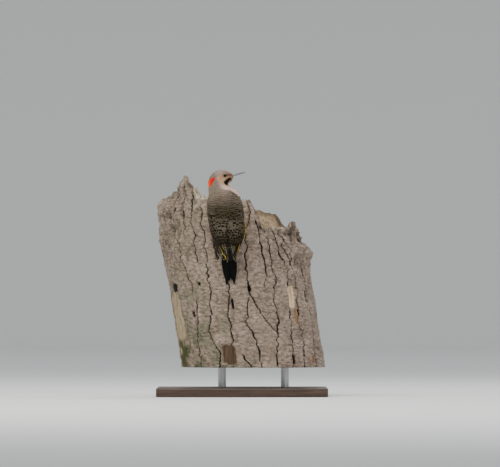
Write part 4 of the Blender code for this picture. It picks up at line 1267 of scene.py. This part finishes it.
def make_head_feathers():
    """Rows from the bill back: feathers of 2.6 mm round the bill growing to 6.5 mm on the neck."""
    stations = np.concatenate([np.arange(HEAD_END - 0.0002, 0.168, -0.00100),
                               np.arange(0.168, 0.138, -0.00125)])
    p, q, row, k = rows_on_body(stations, 0.00108)
    fan = fan_of(p)
    keep = scatter(k, row + 3.0) < 0.18 + pull(p, q)
    length = 0.0026 + 0.0020 * ease((62 - fan) / 30) + 0.0021 * ease((22 - fan) / 18)
    gap = eye_gap(skin_surface(p, q))
    tip_gap = eye_gap(skin_surface(p - length * 0.8, q))
    off_back = np.degrees(wrapped(q + math.pi / 2))
    keep &= (gap > 0.0036) & (tip_gap > 0.0033)
    keep &= ~((off_back < 30) & (off_back > -100) & (p < 0.1415 + 0.003 * scatter(k, row + 8.0)))
    p, q, row, k, fan, length, gap = (x[keep] for x in (p, q, row, k, fan, length, gap))
    length = length * (0.85 + 0.3 * scatter(k, row + 11.0)) * (0.62 + 0.38 * ease((gap - 0.0034) / 0.004))
    width = length * (0.34 + 0.10 * ease((18 - fan) / 18))
    depth = coat_depth(p)
    group = lay(skin_surface, SMALL_VANE, p, q, length, width,
                (-0.0001, depth * (0.62 + 0.16 * scatter(k, row + 21.0))), arch=0.07,
                drift=0.0009 * (scatter(k, row + 5.0) - 0.5))
    colour, front = ground_colour(p - 0.45 * length, q)
    colour = colour * (0.90 + 0.2 * scatter(k, row + 17.0))[:, None]
    z = skin_surface(p, q)[:, 2]
    share = np.mod(z, 0.0046) / length
    barred = (z < 0.4705 + 0.006 * (scatter(k, row + 31.0) - 0.5)) & (front < 0.5) & (share > 0.3)
    share = np.where(barred & (colour[:, 0] < 0.40), np.minimum(share, 0.95), 5.0)
    bar = np.stack([share, 0.00045 / length, 0 * p + 9.0], -1)
    dress(group, colour, body_home(p, q), colour * 0.52, bar)
    make_plumes("head_feathers", [group], "feathers_head", "head")


make_head_feathers()


# -------------------------------------------- neck, rump and underparts
# Rounder, longer feathers in staggered rows.  The underparts are buff with round black spots below a black
# bib, the vent and the rump white.
def make_body_feathers():
    """Zones up the body, each with its own pitch: vent and rump, belly, breast, and the neck's foot.
    Every other feather of the underparts carries one round spot near its tip."""
    groups = []
    zones = ((np.arange(0.1400, 0.1270, -0.0020), 0.0026, 0.0078, 0.46),
             (np.arange(0.1270, 0.0800, -0.0042), 0.0046, 0.0120, 0.62),
             (np.arange(0.0800, 0.0330, -0.0050), 0.0052, 0.0145, 0.62),
             (np.arange(0.0330, 0.0030, -0.0050), 0.0048, 0.0135, 0.52))
    for n, (stations, pitch, reach, slim) in enumerate(zones):
        p, q, row, k = rows_on_body(stations, pitch, seed=3.0 * n)
        off_back = np.degrees(wrapped(q + math.pi / 2))
        open_ = wing_edge(TORSO_FOOT + p, 1) - 16.0
        covered = (off_back < np.minimum(open_, 60)) & (off_back > -60) & (p > 0.026) & (p < 0.141)
        covered |= (np.sin(q) < 0.1) & (p < 0.018)
        p, q, row, k = (x[~covered] for x in (p, q, row, k))
        length = reach * (0.93 + 0.14 * scatter(k, row + 2.0 + n))
        width = length * slim * 1.25
        depth = coat_depth(p - 0.7 * length)
        flank = ease((off_back[~covered] - 30.0) / 20.0) * ease((p - 0.060) / 0.02)
        group = lay(skin_surface, SHORT_VANE, p, q, length, width, (0.0, depth * 0.80 + 0.0007 * flank),
                    arch=0.045, drift=0.0016 * (scatter(k, row + 9.0) - 0.5))
        seen = p - 0.75 * length
        colour, front = ground_colour(seen, q)
        count = len(p)
        bar = np.tile(np.array([0.78, 0.0001, 9.0]), (count, 1))
        spot = np.tile(np.array([5.0, 0.1, 0.0]), (count, 1))
        spotted = (front >= 0.5) & (seen < 0.106) & (np.mod(row + k, 2) < 1)
        bar[spotted, 1] = 0.0017 / length[spotted]
        spot[spotted, 0] = 0.0
        spot[spotted, 1] = 0.42
        tone = 0.93 + 0.14 * scatter(k, row + 27.0)
        dress(group, colour * tone[:, None], body_home(p, q), bar=bar, spot=spot, patch=0.010)
        groups.append(group)
    make_plumes("body_feathers", groups, "feathers_body", "torso", "neck")


make_body_feathers()


# -------------------------------------------- back: mantle, scapulars and coverts
# One coat of barred feathers runs from the foot of the neck over the back and both folded wings, so that
# no edge shows between them.  The bars are fine and wavy above and break into bold black spots below.
def coat_over(z, turn, inset=0.0016):
    """Outline of back and wings together, by height and angle from the middle of the back: the trunk's
    reach, raised to the wing's by smooth steps across the wing's inner edge and down from the shoulder."""
    z, turn = paired(z, turn)
    row = through(WING, z)
    first, last = np.radians(row[..., 5]), np.radians(row[..., 6])
    size = np.abs(turn)
    dx, dy = row[..., 2] * np.sin(turn), -row[..., 4] * np.cos(turn)
    reach = np.hypot(dx, dy)
    x, y = row[..., 1], BARK_FACE_Y - row[..., 3]
    near = trunk_reach(z, x, y, dx / reach, dy / reach)
    share = (size - first) / (last - first)
    raised = ease((share + 0.30) / 0.55) * (1 - ease((share - 0.94) / 0.12)) * ease((0.454 - z) / 0.022)
    full = 1 - 0.5 * np.clip(2 * share - 1, 0, 1) ** 6
    r = near + np.maximum(reach * full + near * (1 - full) - near, 0.0015) * raised - inset
    return np.stack([x + dx / reach * r, y + dy / reach * r, z], -1)


# Colour of the coat by height, in the middle of the back and on its flanks.
COAT_TONES = np.array((
    (0.336, 0.014, 0.010, 0.004), (0.350, 0.058, 0.046, 0.026), (0.363, 0.104, 0.085, 0.056),
    (0.376, 0.128, 0.107, 0.077), (0.386, 0.108, 0.088, 0.059), (0.398, 0.044, 0.034, 0.016),
    (0.409, 0.070, 0.055, 0.031), (0.420, 0.083, 0.066, 0.042), (0.431, 0.122, 0.095, 0.067),
    (0.443, 0.186, 0.144, 0.108), (0.454, 0.244, 0.192, 0.146)))
FLANK_TONES = np.array((
    (0.340, 0.024, 0.018, 0.009), (0.366, 0.082, 0.065, 0.038), (0.378, 0.092, 0.074, 0.044),
    (0.388, 0.098, 0.079, 0.048), (0.400, 0.118, 0.095, 0.060), (0.412, 0.096, 0.077, 0.046),
    (0.424, 0.120, 0.095, 0.066), (0.440, 0.225, 0.175, 0.130), (0.454, 0.236, 0.188, 0.142)))


def tones_at(table, z):
    """Colours of a table at heights, by straight lines between its rows."""
    return np.stack([np.interp(z, table[:, 0], tone) for tone in table.T[1:]], -1)


def make_back_feathers():
    """Rows down the back: close rows with one fine bar each, then wide rows with a bold spot each.  Low
    down the rows keep clear of the middle, where the long inner wing feathers lie."""
    fine = np.linspace(-1, 1, 240)
    p, q, row, size = [], [], [], []
    levels = np.concatenate([np.arange(0.4642, 0.4040, -0.0046), np.arange(0.4030, 0.3475, -0.0062)])
    for n, z in enumerate(levels):
        side = np.sign(fine)
        bared = 85.0 + 40.0 * max(ease((0.352 - z) / 0.010), ease((z - 0.388) / 0.010))
        span = np.radians(np.minimum(wing_edge(z, side), np.where(side > 0, bared, 180.0))) * fine
        q.append(spaced(coat_over(np.full(240, z), span), span, 0.0052 if z > 0.4036 else 0.0076, n))
        count = len(q[-1])
        p.append(np.full(count, z))
        row.append(np.full(count, n * 1.0))
        early = scatter(np.arange(count) * 1.0, np.full(count, n * 3.0)) < 0.45 * (z < 0.4140)
        size.append(np.where(early, 0.0174, 0.0132) if z > 0.4036 else np.full(count, 0.0205))
    p, q, row, length = (np.concatenate(x) for x in (p, q, row, size))
    k = np.arange(len(p)) * 1.0
    length = length * (0.93 + 0.14 * scatter(k, row))
    p = p + (scatter(k, row + 3.0) - 0.5) * 0.0016 - 0.0060 * (1 - np.cos(q)) * ease((0.408 - p) / 0.015)
    p = p + np.where(q > 0, 0.0230, 0.0070) * (1 - np.cos(q)) * ease((p - 0.380) / 0.045) \
        * ease((0.464 - p) / 0.024)
    p = p + 0.0022 * mottle(2.2 * q, row * 0.7, 0 * q)
    p = p + 0.0042 * mottle(2.6 * q + 3.0, 0 * q, 0 * q) * np.exp(-((p - 0.404) / 0.016) ** 2)
    bold = length > 0.0165
    drift = 0.0014 * (scatter(k, row + 5.0) - 0.5) - 0.0012 * np.sin(q) * ease((0.40 - p) / 0.02)
    group = lay(coat_over, SHORT_VANE, p, q, length, np.where(bold, 0.0104, 0.0088), (0.0002, 0.0013),
                arch=0.038, drift=drift, sink=np.where(p > 0.455, 0.0010, 0.0))
    seen = p - 0.75 * length
    tone = (0.84 + 0.32 * scatter(k, row + 7.0))[:, None]
    outer = ease((np.abs(q) - 0.55) / 0.45)
    colour = mixed(tones_at(COAT_TONES, seen), tones_at(FLANK_TONES, seen), outer) * tone
    shoulder = ease((q - 0.25) / 0.5)
    fade = ease((seen - 0.400) / 0.040) * (1 - 0.55 * shoulder)
    mark = mixed(np.tile((0.008, 0.006, 0.003), (len(p), 1)), colour * 0.58, fade)
    up = ease((seen - 0.375) / 0.075)
    thin = (0.00135 - 0.00045 * up) * (0.5 + 0.8 * scatter(k, row + 13.0)) / length
    wide_bar = (0.0017 + 0.0009 * scatter(k, row + 37.0)) / length
    side = ease((np.abs(q) - 0.5) / 0.6) * ease((0.414 - seen) / 0.012)
    half = np.where(bold, wide_bar * (1 + 0.30 * np.maximum(outer, ease((0.380 - seen) / 0.016))),
                    thin * (1 + 0.8 * side))
    place = 0.80 + np.where(bold, 0.12, 0.06) * (scatter(k, row + 15.0) - 0.5)
    bar = np.stack([place, half, np.full(len(p), 9.0)], -1)
    joined = scatter(k, row + 41.0) > 0.70
    low = ease((0.380 - seen) / 0.016)
    round_ = 0.42 + 0.18 * scatter(k, row + 43.0) + 0.16 * np.maximum(outer, low)
    spot = np.stack([0.7 * (scatter(k, row + 23.0) - 0.5) * bold,
                     np.where(bold, np.where(joined, 0.85, round_), 9.0 - 8.3 * side),
                     0.04 + 0.10 * scatter(k, row + 19.0)], -1)
    home = np.stack([0.5 + 0.22 * q, 0.05 + 0.9 * (p - 0.34) / 0.12], -1)
    dress(group, colour, home, mark, bar, spot, patch=0.020)
    make_plumes("back_feathers", [group], "feathers_body", "torso", "wing_left", "wing_right")


make_back_feathers()


# -------------------------------------------- wings, folded
# Long feathers that come out from under the coat of the back: broad barred tertials and secondaries over
# the dark primaries, each of whose shafts its inner neighbour covers, up to the golden ones at the edge.
QUILL_WEB = np.array([-1.0, -0.72, -0.38, -0.09, -0.028, 0.028, 0.09, 0.38, 0.72, 1.0])
LONG_VANE = vane_form(QUILL_WEB, np.concatenate([np.linspace(0, 0.8, 9), [0.87, 0.92, 0.96, 0.985, 1.0]]),
                      ((0.0, 0.2, 0.5, 0.8, 0.9, 0.96, 0.985, 1.0),
                       (0.55, 0.9, 1.0, 0.92, 0.76, 0.52, 0.33, 0.15)))
POINTED_VANE = vane_form(QUILL_WEB,
                         np.concatenate([np.linspace(0, 0.7, 8), [0.78, 0.86, 0.92, 0.96, 0.985, 1.0]]),
                         ((0.0, 0.3, 0.6, 0.78, 0.9, 0.96, 1.0), (0.6, 0.95, 1.0, 0.82, 0.48, 0.24, 0.05)))
YELLOW = (0.50, 0.33, 0.045)
DARK_BROWN = (0.010, 0.007, 0.005)


def wing_home(z, share):
    """Root's place on the unrolled wing."""
    return np.stack([0.06 + 0.86 * np.clip(share, 0, 1), 0.04 + 0.92 * (z - 0.29) / 0.17], -1)


def make_wing(name, side):
    """Primaries, secondaries and tertials, from the lowest layer to the highest."""
    flat = wing(side, 0.0032)
    groups = []

    def flight(form, roots, shares, tips, tip_shares, widths, lifts, ground, pattern, bend, shaft,
               rise=0.0003, hem=(0.0, 0.0, 0.0, 0.0), sink=0.0012):
        """One row of quills: heights and shares of their roots and tips, widths and lifts, then the colours;
        the pattern is period, half thickness and first bar's distance from the tip."""
        z0, q0, z1, q1, wide = (np.array(x, float) for x in (roots, shares, tips, tip_shares, widths))
        length = z0 - z1
        group = lay(flat, form, z0, q0, length, wide, (np.array(lifts), np.array(lifts) + rise), arch=0.035,
                    roll=0.00008, turn=side, tip=(z1, q1), q_limits=(-0.25, 1.03), shaft=0.00016,
                    sink=sink)
        k = np.arange(len(z0)) * 1.0
        period = pattern[0] / length
        place = 1 - (pattern[2] + 0.0030 * (scatter(k, k + 3.0 + side) - 0.5)) / length
        bar = np.stack([place, pattern[1] / length, period], -1)
        dress(group, ground, wing_home(z0 - 0.3 * length, q0), DARK_BROWN, bar, bend, shaft, 0.05, hem)
        groups.append(group)

    if side > 0:
        flight(POINTED_VANE, (0.398,), (0.82,), (0.3080,), (0.98,), (0.0125,), (0.0026,),
               (0.012, 0.010, 0.006), (0.0100, 0.0016, 0.010), (0.95, 0.28, 0.08), (0.10, 0.07, 0.02))
    n = np.arange(9)
    gold = np.tile(np.array([0.050, 0.034, 0.012]), (9, 1))
    proud = np.where(n == 8, 0.0026 if side > 0 else 0.0002, 0.0) + np.where(n == 7, 0.0008, 0.0)
    flight(POINTED_VANE, (0.392, 0.391, 0.390, 0.389, 0.388, 0.387, 0.386, 0.385, 0.402),
           (0.40, 0.43, 0.46, 0.49, 0.52, 0.55, 0.58, 0.61, 0.66),
           (0.330, 0.326, 0.322, 0.318, 0.314, 0.3100, 0.3050, 0.2990, 0.3060),
           (0.20, 0.22, 0.25, 0.28, 0.32, 0.36, 0.40, 0.44, 0.93),
           (0.0100,) * 6 + (0.0095, 0.0090, 0.0100), 0.0020 - 0.00022 * n + proud,
           (0.009, 0.008, 0.005), (0.0100, 0.0016, 0.010), (0.95, 0.28, 0.08), gold, 0.0003,
           (0.44, 0.38, 0.25, 0.75))
    bared = ((0.3930, 0.62, 0.3480, 0.72, 0.0026, 0.0044), (0.3400, 0.66, 0.3170, 0.86, 0.0020, 0.0040))
    bared = bared if side > 0 else ((0.3350, 0.58, 0.3040, 0.68, 0.0016, 0.0032),)
    z0, q0, z1, q1, wide, proud = np.array(bared).T
    flight(POINTED_VANE, z0, q0, z1, q1, wide, proud, YELLOW, (1.0, 0.0, 0.0), (5.0, 0.2, 0.0), YELLOW, 0.0,
           sink=0.0)
    m = np.arange(7)
    flight(LONG_VANE, 0.392 - 0.0004 * m, 0.66 - 0.065 * m, 0.3440 - 0.0012 * m, 0.60 - 0.078 * m,
           (0.0118,) * 7, 0.0002 + 0.00014 * m, (0.020, 0.016, 0.010), (0.0088, 0.0023, 0.0060),
           (0.52, 0.46, 0.05), (0.02, 0.015, 0.008), 0.0010, (0.15, 0.12, 0.06, 0.22), sink=0.0026)
    flight(LONG_VANE, (0.392, 0.391, 0.390, 0.389), (0.26, 0.18, 0.11, 0.05),
           (0.3300, 0.3255, 0.3290, 0.3420), (0.24, 0.14, 0.06, 0.02), (0.0135, 0.0135, 0.0130, 0.0120),
           (-0.0006, -0.0005, -0.0004, -0.0003),
           (0.018, 0.014, 0.007), (0.0080, 0.0023, 0.0055), (0.42, 0.52, 0.04), (0.02, 0.015, 0.008), 0.0014,
           (0.22, 0.18, 0.10, 0.22), sink=0.0034)
    make_plumes(name, groups, "feathers_wing", "wing_right" if side > 0 else "wing_left")


make_wing("wing_feathers_right", 1)
make_wing("wing_feathers_left", -1)


# -------------------------------------------- tail, braced on the bark
# Twelve stiff black pointed feathers, the middle pair longest and on top, their tips worn and spread; short
# barred coverts hide their roots above and below.
TAIL_MIDDLE, TAIL_TIPS = -0.0292, 0.2465


def tail_root(z):
    """1 at the tail's root under the vent, falling by a smooth step to 0 below it."""
    return ease(1 - (TORSO_FOOT - z) / 0.016)


def tail_top(z, s):
    """Roofed fan by height and share across: held over the bark by a gap that grows up to the vent."""
    z, s = paired(z, s)
    wide = 0.0148 - 0.0030 * ease((0.300 - z) / 0.05) + 0.0010 * ease((0.316 - z) / 0.02)
    x = TAIL_MIDDLE + 0.0040 * ease((TORSO_FOOT - z) / 0.07) + wide * s
    f = np.clip((z - TAIL_TIPS) / 0.0715, 0, 1.3)
    angle = -math.pi / 2 + np.arcsin(np.clip((x - log_middle(z)) / LOG_RADIUS, -1, 1))
    bark_out = -log_reach(angle, z) * np.sin(angle) + BARK_FACE_Y
    lift = 0.0006 + 0.0262 * f ** 1.08
    thick = (0.0016 + 0.0085 * tail_root(z)) * (1 - 0.45 * s * s)
    low = bark_out + lift + 0.0006 + 0.0018 * (1 - s * s) * f
    return np.stack([x, BARK_FACE_Y - low - thick, z], -1)


def tail_home(z, s):
    """Root's place on the unrolled tail."""
    return np.stack([0.5 + 0.42 * np.asarray(s), 0.06 + 0.86 * (np.asarray(z) - 0.24) / 0.10], -1)


def make_tail():
    """Feathers from the lowest pair, hidden under the middle, then from the outermost pair up to the
    middle pair, each pair higher than the last."""
    groups = []
    pairs = ((0.14, 0.22, 0.2560, 0.0125), (0.86, 1.00, 0.2740, 0.0070), (0.70, 0.92, 0.2680, 0.0085),
             (0.52, 0.84, 0.2610, 0.0100), (0.30, 0.75, 0.2545, 0.0112), (0.08, 0.66, 0.2470, 0.0126))
    for n, (root, tip, level, wide) in enumerate(pairs):
        side = np.array([-1.0, 1.0])
        z0 = np.array([0.3270, 0.3270])
        z1 = level + np.array([0.0, 0.0025])
        length = z0 - z1
        group = lay(tail_top, POINTED_VANE, z0, root * side, length, np.full(2, wide),
                    (0.00010 + 0.00028 * n, -0.0002 + 0.00026 * n), arch=0.10, turn=1, tip=(z1, tip * side),
                    q_limits=(-1.06, 1.06), shaft=0.00030)
        edge = n == 1
        dress(group, (0.0022, 0.0021, 0.0022), tail_home(z0 - 0.01, root * side),
              (0.20, 0.17, 0.12) if edge else (0.0018, 0.0018, 0.0018),
              np.stack([np.full(2, 0.3), 0.0010 / length, 0.0085 / length], -1),
              (0.95, 0.30 if edge else 0.02, 0.1), (0.003, 0.003, 0.003), 0.06)
        groups.append(group)
    s = np.array([-0.7, -0.42, -0.14, 0.14, 0.42, 0.7, -0.56, -0.28, 0.0, 0.28, 0.56])
    z = np.array([0.3310] * 6 + [0.3360] * 5)
    length = np.array([0.0300] * 6 + [0.0275] * 5)
    group = lay(tail_top, SHORT_VANE, z, s, length, np.full(11, 0.0090), (0.0008, 0.0020), arch=0.06)
    bar = np.stack([np.full(11, 0.80), 0.0036 / length, 0.0080 / length], -1)
    dress(group, (0.070, 0.058, 0.034), tail_home(z, s), (0.006, 0.005, 0.005), bar, (0.0, 9.0, 0.14),
          patch=0.03, hem=(0.34, 0.30, 0.18, 0.5))
    groups.append(group)

    def tail_under(z, s):
        """The fan's face towards the bark: its top moved in by its thickness."""
        root = tail_root(z)
        return tail_top(z, s) + np.stack([0 * root, 0.0034 + 0.0085 * root, 0 * root], -1)

    group = lay(tail_under, SHORT_VANE, z, s, np.full(11, 0.030), np.full(11, 0.0100), (0.0004, 0.0018),
                arch=0.08, turn=-1)
    bar = np.stack([np.full(11, 0.88), 0.0018 / length, 0.0075 / length], -1)
    dress(group, (0.66, 0.61, 0.52), tail_home(z - 0.04, s), (0.012, 0.011, 0.010), bar, (0.0, 9.0, 0.12),
          patch=0.03)
    groups.append(group)
    make_plumes("tail_feathers", groups, "feathers_tail", "tail")


make_tail()


# -------------------------------------------- legs and feet
# Short buff feathers on the thighs.  Grey scaled feet with two toes up and two down hold the bark with
# black hooked claws.
def make_leg_feathers():
    """Staggered rows down each thigh tube."""
    groups = []
    for side in (-1, 1):
        surface = thigh(side)
        share, around = crossed(np.linspace(0.96, 0.16, 9), round_turn(12))
        around = around + (np.arange(9) % 2)[:, None] * math.pi / 12
        p, q = share.ravel(), around.ravel()
        k = np.arange(len(p)) * 1.0
        group = lay(surface, SMALL_VANE, p, q, 0.0055 + 0 * p, 0.0036 + 0 * p, (0.0, 0.0007), arch=0.12,
                    tip=(p - 0.26, q + 0.1 * (scatter(k, k) - 0.5)))
        tone = 0.88 + 0.24 * scatter(k, k + side)
        dress(group, np.outer(tone, (0.50, 0.42, 0.32)),
              np.stack([0.25 + 0.25 * side + 0.4 * q / 7.0, 0.05 + 0.9 * p], -1))
        groups.append(group)
    make_plumes("leg_feathers", groups, "feathers_leg", "leg_left", "leg_right")


make_leg_feathers()


BAND_PITCH = 0.0011             # of the scales along a toe


def scale_finish():
    """Grey scaled skin: bands across the toe, dark between them, fine grit on each."""
    made = Finish("foot scales")
    angle = made.maths("MULTIPLY", made.attribute("run"), 2 * math.pi / BAND_PITCH)
    lift = made.spread(made.maths("SINE", angle), 0.0, 1.0, -1.0)
    tones = made.ramp(lift, (0.0, (0.010, 0.008, 0.006)), (0.35, (0.040, 0.034, 0.026)),
                      (1.0, (0.070, 0.060, 0.046)))
    colour = made.mix(0.6, tones, made.noise(made.place(), 1600.0, output="Color"), "MULTIPLY")
    return made.shader({"Roughness": 0.62, "Specular IOR Level": 0.20, "Base Color": colour,
                        "Normal": made.bump(lift, 0.0003)})


def claw_finish():
    """Black horn with faint grey streaks."""
    made = Finish("claw horn")
    tones = made.ramp(made.noise(made.place(), 1200.0), (0.35, (0.010, 0.009, 0.009)),
                      (0.75, (0.060, 0.054, 0.048)))
    return made.shader({"Roughness": 0.32, "Base Color": tones})


def along_path(knots, radii, rings, sides, step=None):
    """Tube round a smooth path through knots: its section is a circle square to the path, with the radius
    blended between knots and a small swelling every step metres; both ends are closed."""
    knots = np.array(knots, float)
    run = length_along(knots)
    at = np.linspace(0, run[-1], rings)
    row = through(np.concatenate([run[:, None], knots, np.array(radii)[:, None]], 1), at)
    spine, radius = row[:, 1:4], np.maximum(row[:, 4], 0.00012)
    if step:
        radius = radius * (1 + 0.07 * np.abs(np.sin(math.pi * at / step)))
    way = unit(np.gradient(spine, at, axis=0))
    right = unit(np.cross(way, np.array([0.0, -1.0, 0.0])))
    up = np.cross(right, way)
    turn = round_turn(sides)
    ring = spine[:, None] + radius[:, None, None] * (np.cos(turn)[None, :, None] * right[:, None]
                                                     + np.sin(turn)[None, :, None] * up[:, None])
    points, quads, caps = closed_tube(ring, (spine[0], spine[-1]))
    return points, quads, caps, np.concatenate([np.repeat(at, sides), [0.0, run[-1]]])


def join_tubes(tubes):
    """One set of points and faces from several tubes."""
    bases = np.cumsum([0] + [len(tube[0]) for tube in tubes])
    points, runs = (np.concatenate([tube[n] for tube in tubes]) for n in (0, 3))
    quads, caps = (np.concatenate([tube[n] + base for tube, base in zip(tubes, bases)]) for n in (1, 2))
    return points, quads, caps.tolist(), runs


def outward(made):
    """Turn every face of closed tubes outwards."""
    work = bmesh.new()
    work.from_mesh(made.data)
    bmesh.ops.recalc_face_normals(work, faces=work.faces)
    work.to_mesh(made.data)
    work.free()


def on_bark(angle, z, lift):
    """Point over the trunk's smooth radius."""
    reach = log_reach(angle, z) + lift
    return np.array([log_middle(z) + reach * math.cos(angle), reach * math.sin(angle), z])


def make_foot(name, side, turn, toes, scales, horn):
    """Shank and toes as tubes that follow the bark, and a hooked claw at the end of each toe."""
    def toe_place(run, way, high):
        """Place over the bark at a distance from the pad in a direction turned out from straight up."""
        return on_bark(turn + side * run * math.sin(way) / LOG_RADIUS, level + run * math.cos(way), high)

    level, heel = FOOT_Z[side], heel_of(side)
    pad = on_bark(turn, level, 0.0032)
    start = heel + (pad - heel) * 0.05
    tubes = [along_path([start, (start + pad) / 2, pad], [0.0021, 0.0018, 0.0022], 26, 14, 0.0013)]
    claws = []
    for lean, length in toes:
        way = math.radians(lean)
        places, radii = [pad], [0.0021]
        for share, swell, high in ((0.35, 0.95, 0.0012), (0.70, 0.92, 0.0005), (1.0, 0.86, 0.0007)):
            places.append(toe_place(length * share, way, 0.0016 * swell + high + 0.0003))
            radii.append(0.0016 * swell)
        tubes.append(along_path(places, radii, 34, 14, 0.0022))
        hook, thin = [places[-1]], [0.00115]
        for run, high, thick in ((0.0025, 0.0030, 0.00098), (0.0055, 0.0030, 0.00066),
                                 (0.0076, 0.0012, 0.00022)):
            hook.append(toe_place(length + run, way, high))
            thin.append(thick)
        claws.append(along_path(hook, thin, 14, 10))
    for label, parts, material in ((name, tubes, scales), (name.replace("foot", "claws"), claws, horn)):
        points, quads, caps, runs = join_tubes(parts)
        made = put_mesh(label, points, quads, material, caps)
        tint(made, "run", runs)
        outward(made)
        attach(made, "root")
        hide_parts("foot_right" if side > 0 else "foot_left")


SCALES, CLAW = scale_finish(), claw_finish()
make_foot("foot_scaled_left", -1, math.radians(-104.2),
          ((-8.0, 0.015), (14.0, 0.019), (163.0, 0.017), (196.0, 0.010)), SCALES, CLAW)
make_foot("foot_scaled_right", 1, math.radians(-90.8),
          ((-16.0, 0.015), (8.0, 0.019), (150.0, 0.012), (190.0, 0.010)), SCALES, CLAW)


# -------------------------------------------- stage, camera and light
# A wide round floor of pale board that sweeps up into a low wall on every side, a long lens at the
# height of the perch and large soft lights.
VIEW_MIDDLE, VIEW_WIDTH = (0.0176, -0.20, 0.3608), 1.10
VIEW_DISTANCE, CAMERA_Z = 14.0, 0.20
SENSOR = 36.0


def make_stage():
    """Floor profile turned round the upright axis: flat out to the sweep, a quarter circle up, and a wall."""
    flat, sweep, wall_top, sides = 15.5, 2.0, 4.5, 96
    bend = np.linspace(0, math.pi / 2, 16)
    reach = np.concatenate([[1.0, 6.0, 12.0], flat + sweep * np.sin(bend), [flat + sweep]])
    rise = np.concatenate([[0.0, 0.0, 0.0], sweep * (1 - np.cos(bend)), [wall_top]])
    turn = round_turn(sides)
    points = np.stack([np.outer(reach, np.cos(turn)), np.outer(reach, np.sin(turn)),
                       np.repeat(rise[:, None], sides, axis=1)], -1)
    pale = Finish("pale floor").shader({"Base Color": (0.74, 0.74, 0.72, 1.0), "Roughness": 0.9})
    quads = grid_faces(len(reach), sides, True)[:, ::-1]
    put_mesh("floor", points, quads, pale, [tuple(range(sides))])


def soft_light(name, place, aim, size, power, colour):
    """Square area light that faces a point."""
    lamp = bpy.data.lights.new(name, "AREA")
    lamp.shape = "RECTANGLE"
    lamp.size, lamp.size_y = size
    lamp.energy = power
    lamp.color = colour
    made = bpy.data.objects.new(name, lamp)
    made.location = place
    step = np.array(aim) - np.array(place)
    flat = math.hypot(step[0], step[1])
    made.rotation_euler = (math.atan2(flat, -step[2]), 0.0, math.atan2(-step[0], step[1]))
    bpy.context.scene.collection.objects.link(made)


make_stage()
soft_light("light_top", (-1.2, -2.0, 3.2), (0, 0, 0.3), (3.0, 3.0), 150.0, (1.0, 0.985, 0.95))
soft_light("light_front", (2.4, -4.2, 1.6), (0, 0, 0.3), (2.4, 2.4), 38.0, (0.96, 0.98, 1.0))
soft_light("light_back", (1.0, 1.6, 3.0), (0, 0, 0.4), (2.4, 1.6), 40.0, (1.0, 1.0, 1.0))

world = bpy.data.worlds.new("studio")
world.use_nodes = True
world.node_tree.nodes["Background"].inputs["Color"].default_value = (0.93, 0.96, 1.0, 1.0)
world.node_tree.nodes["Background"].inputs["Strength"].default_value = 0.75
bpy.context.scene.world = world

lens = bpy.data.cameras.new("camera")
lens.sensor_width = SENSOR
rise = math.atan2(VIEW_MIDDLE[2] - CAMERA_Z, VIEW_DISTANCE)
lens.lens = SENSOR * VIEW_DISTANCE / math.cos(rise) / VIEW_WIDTH
lens.clip_end = 100.0
camera = bpy.data.objects.new("camera", lens)
camera.location = (VIEW_MIDDLE[0], VIEW_MIDDLE[1] - VIEW_DISTANCE, CAMERA_Z)
camera.rotation_euler = (math.pi / 2 + rise, 0.0, 0.0)
bpy.context.scene.collection.objects.link(camera)
bpy.context.scene.camera = camera
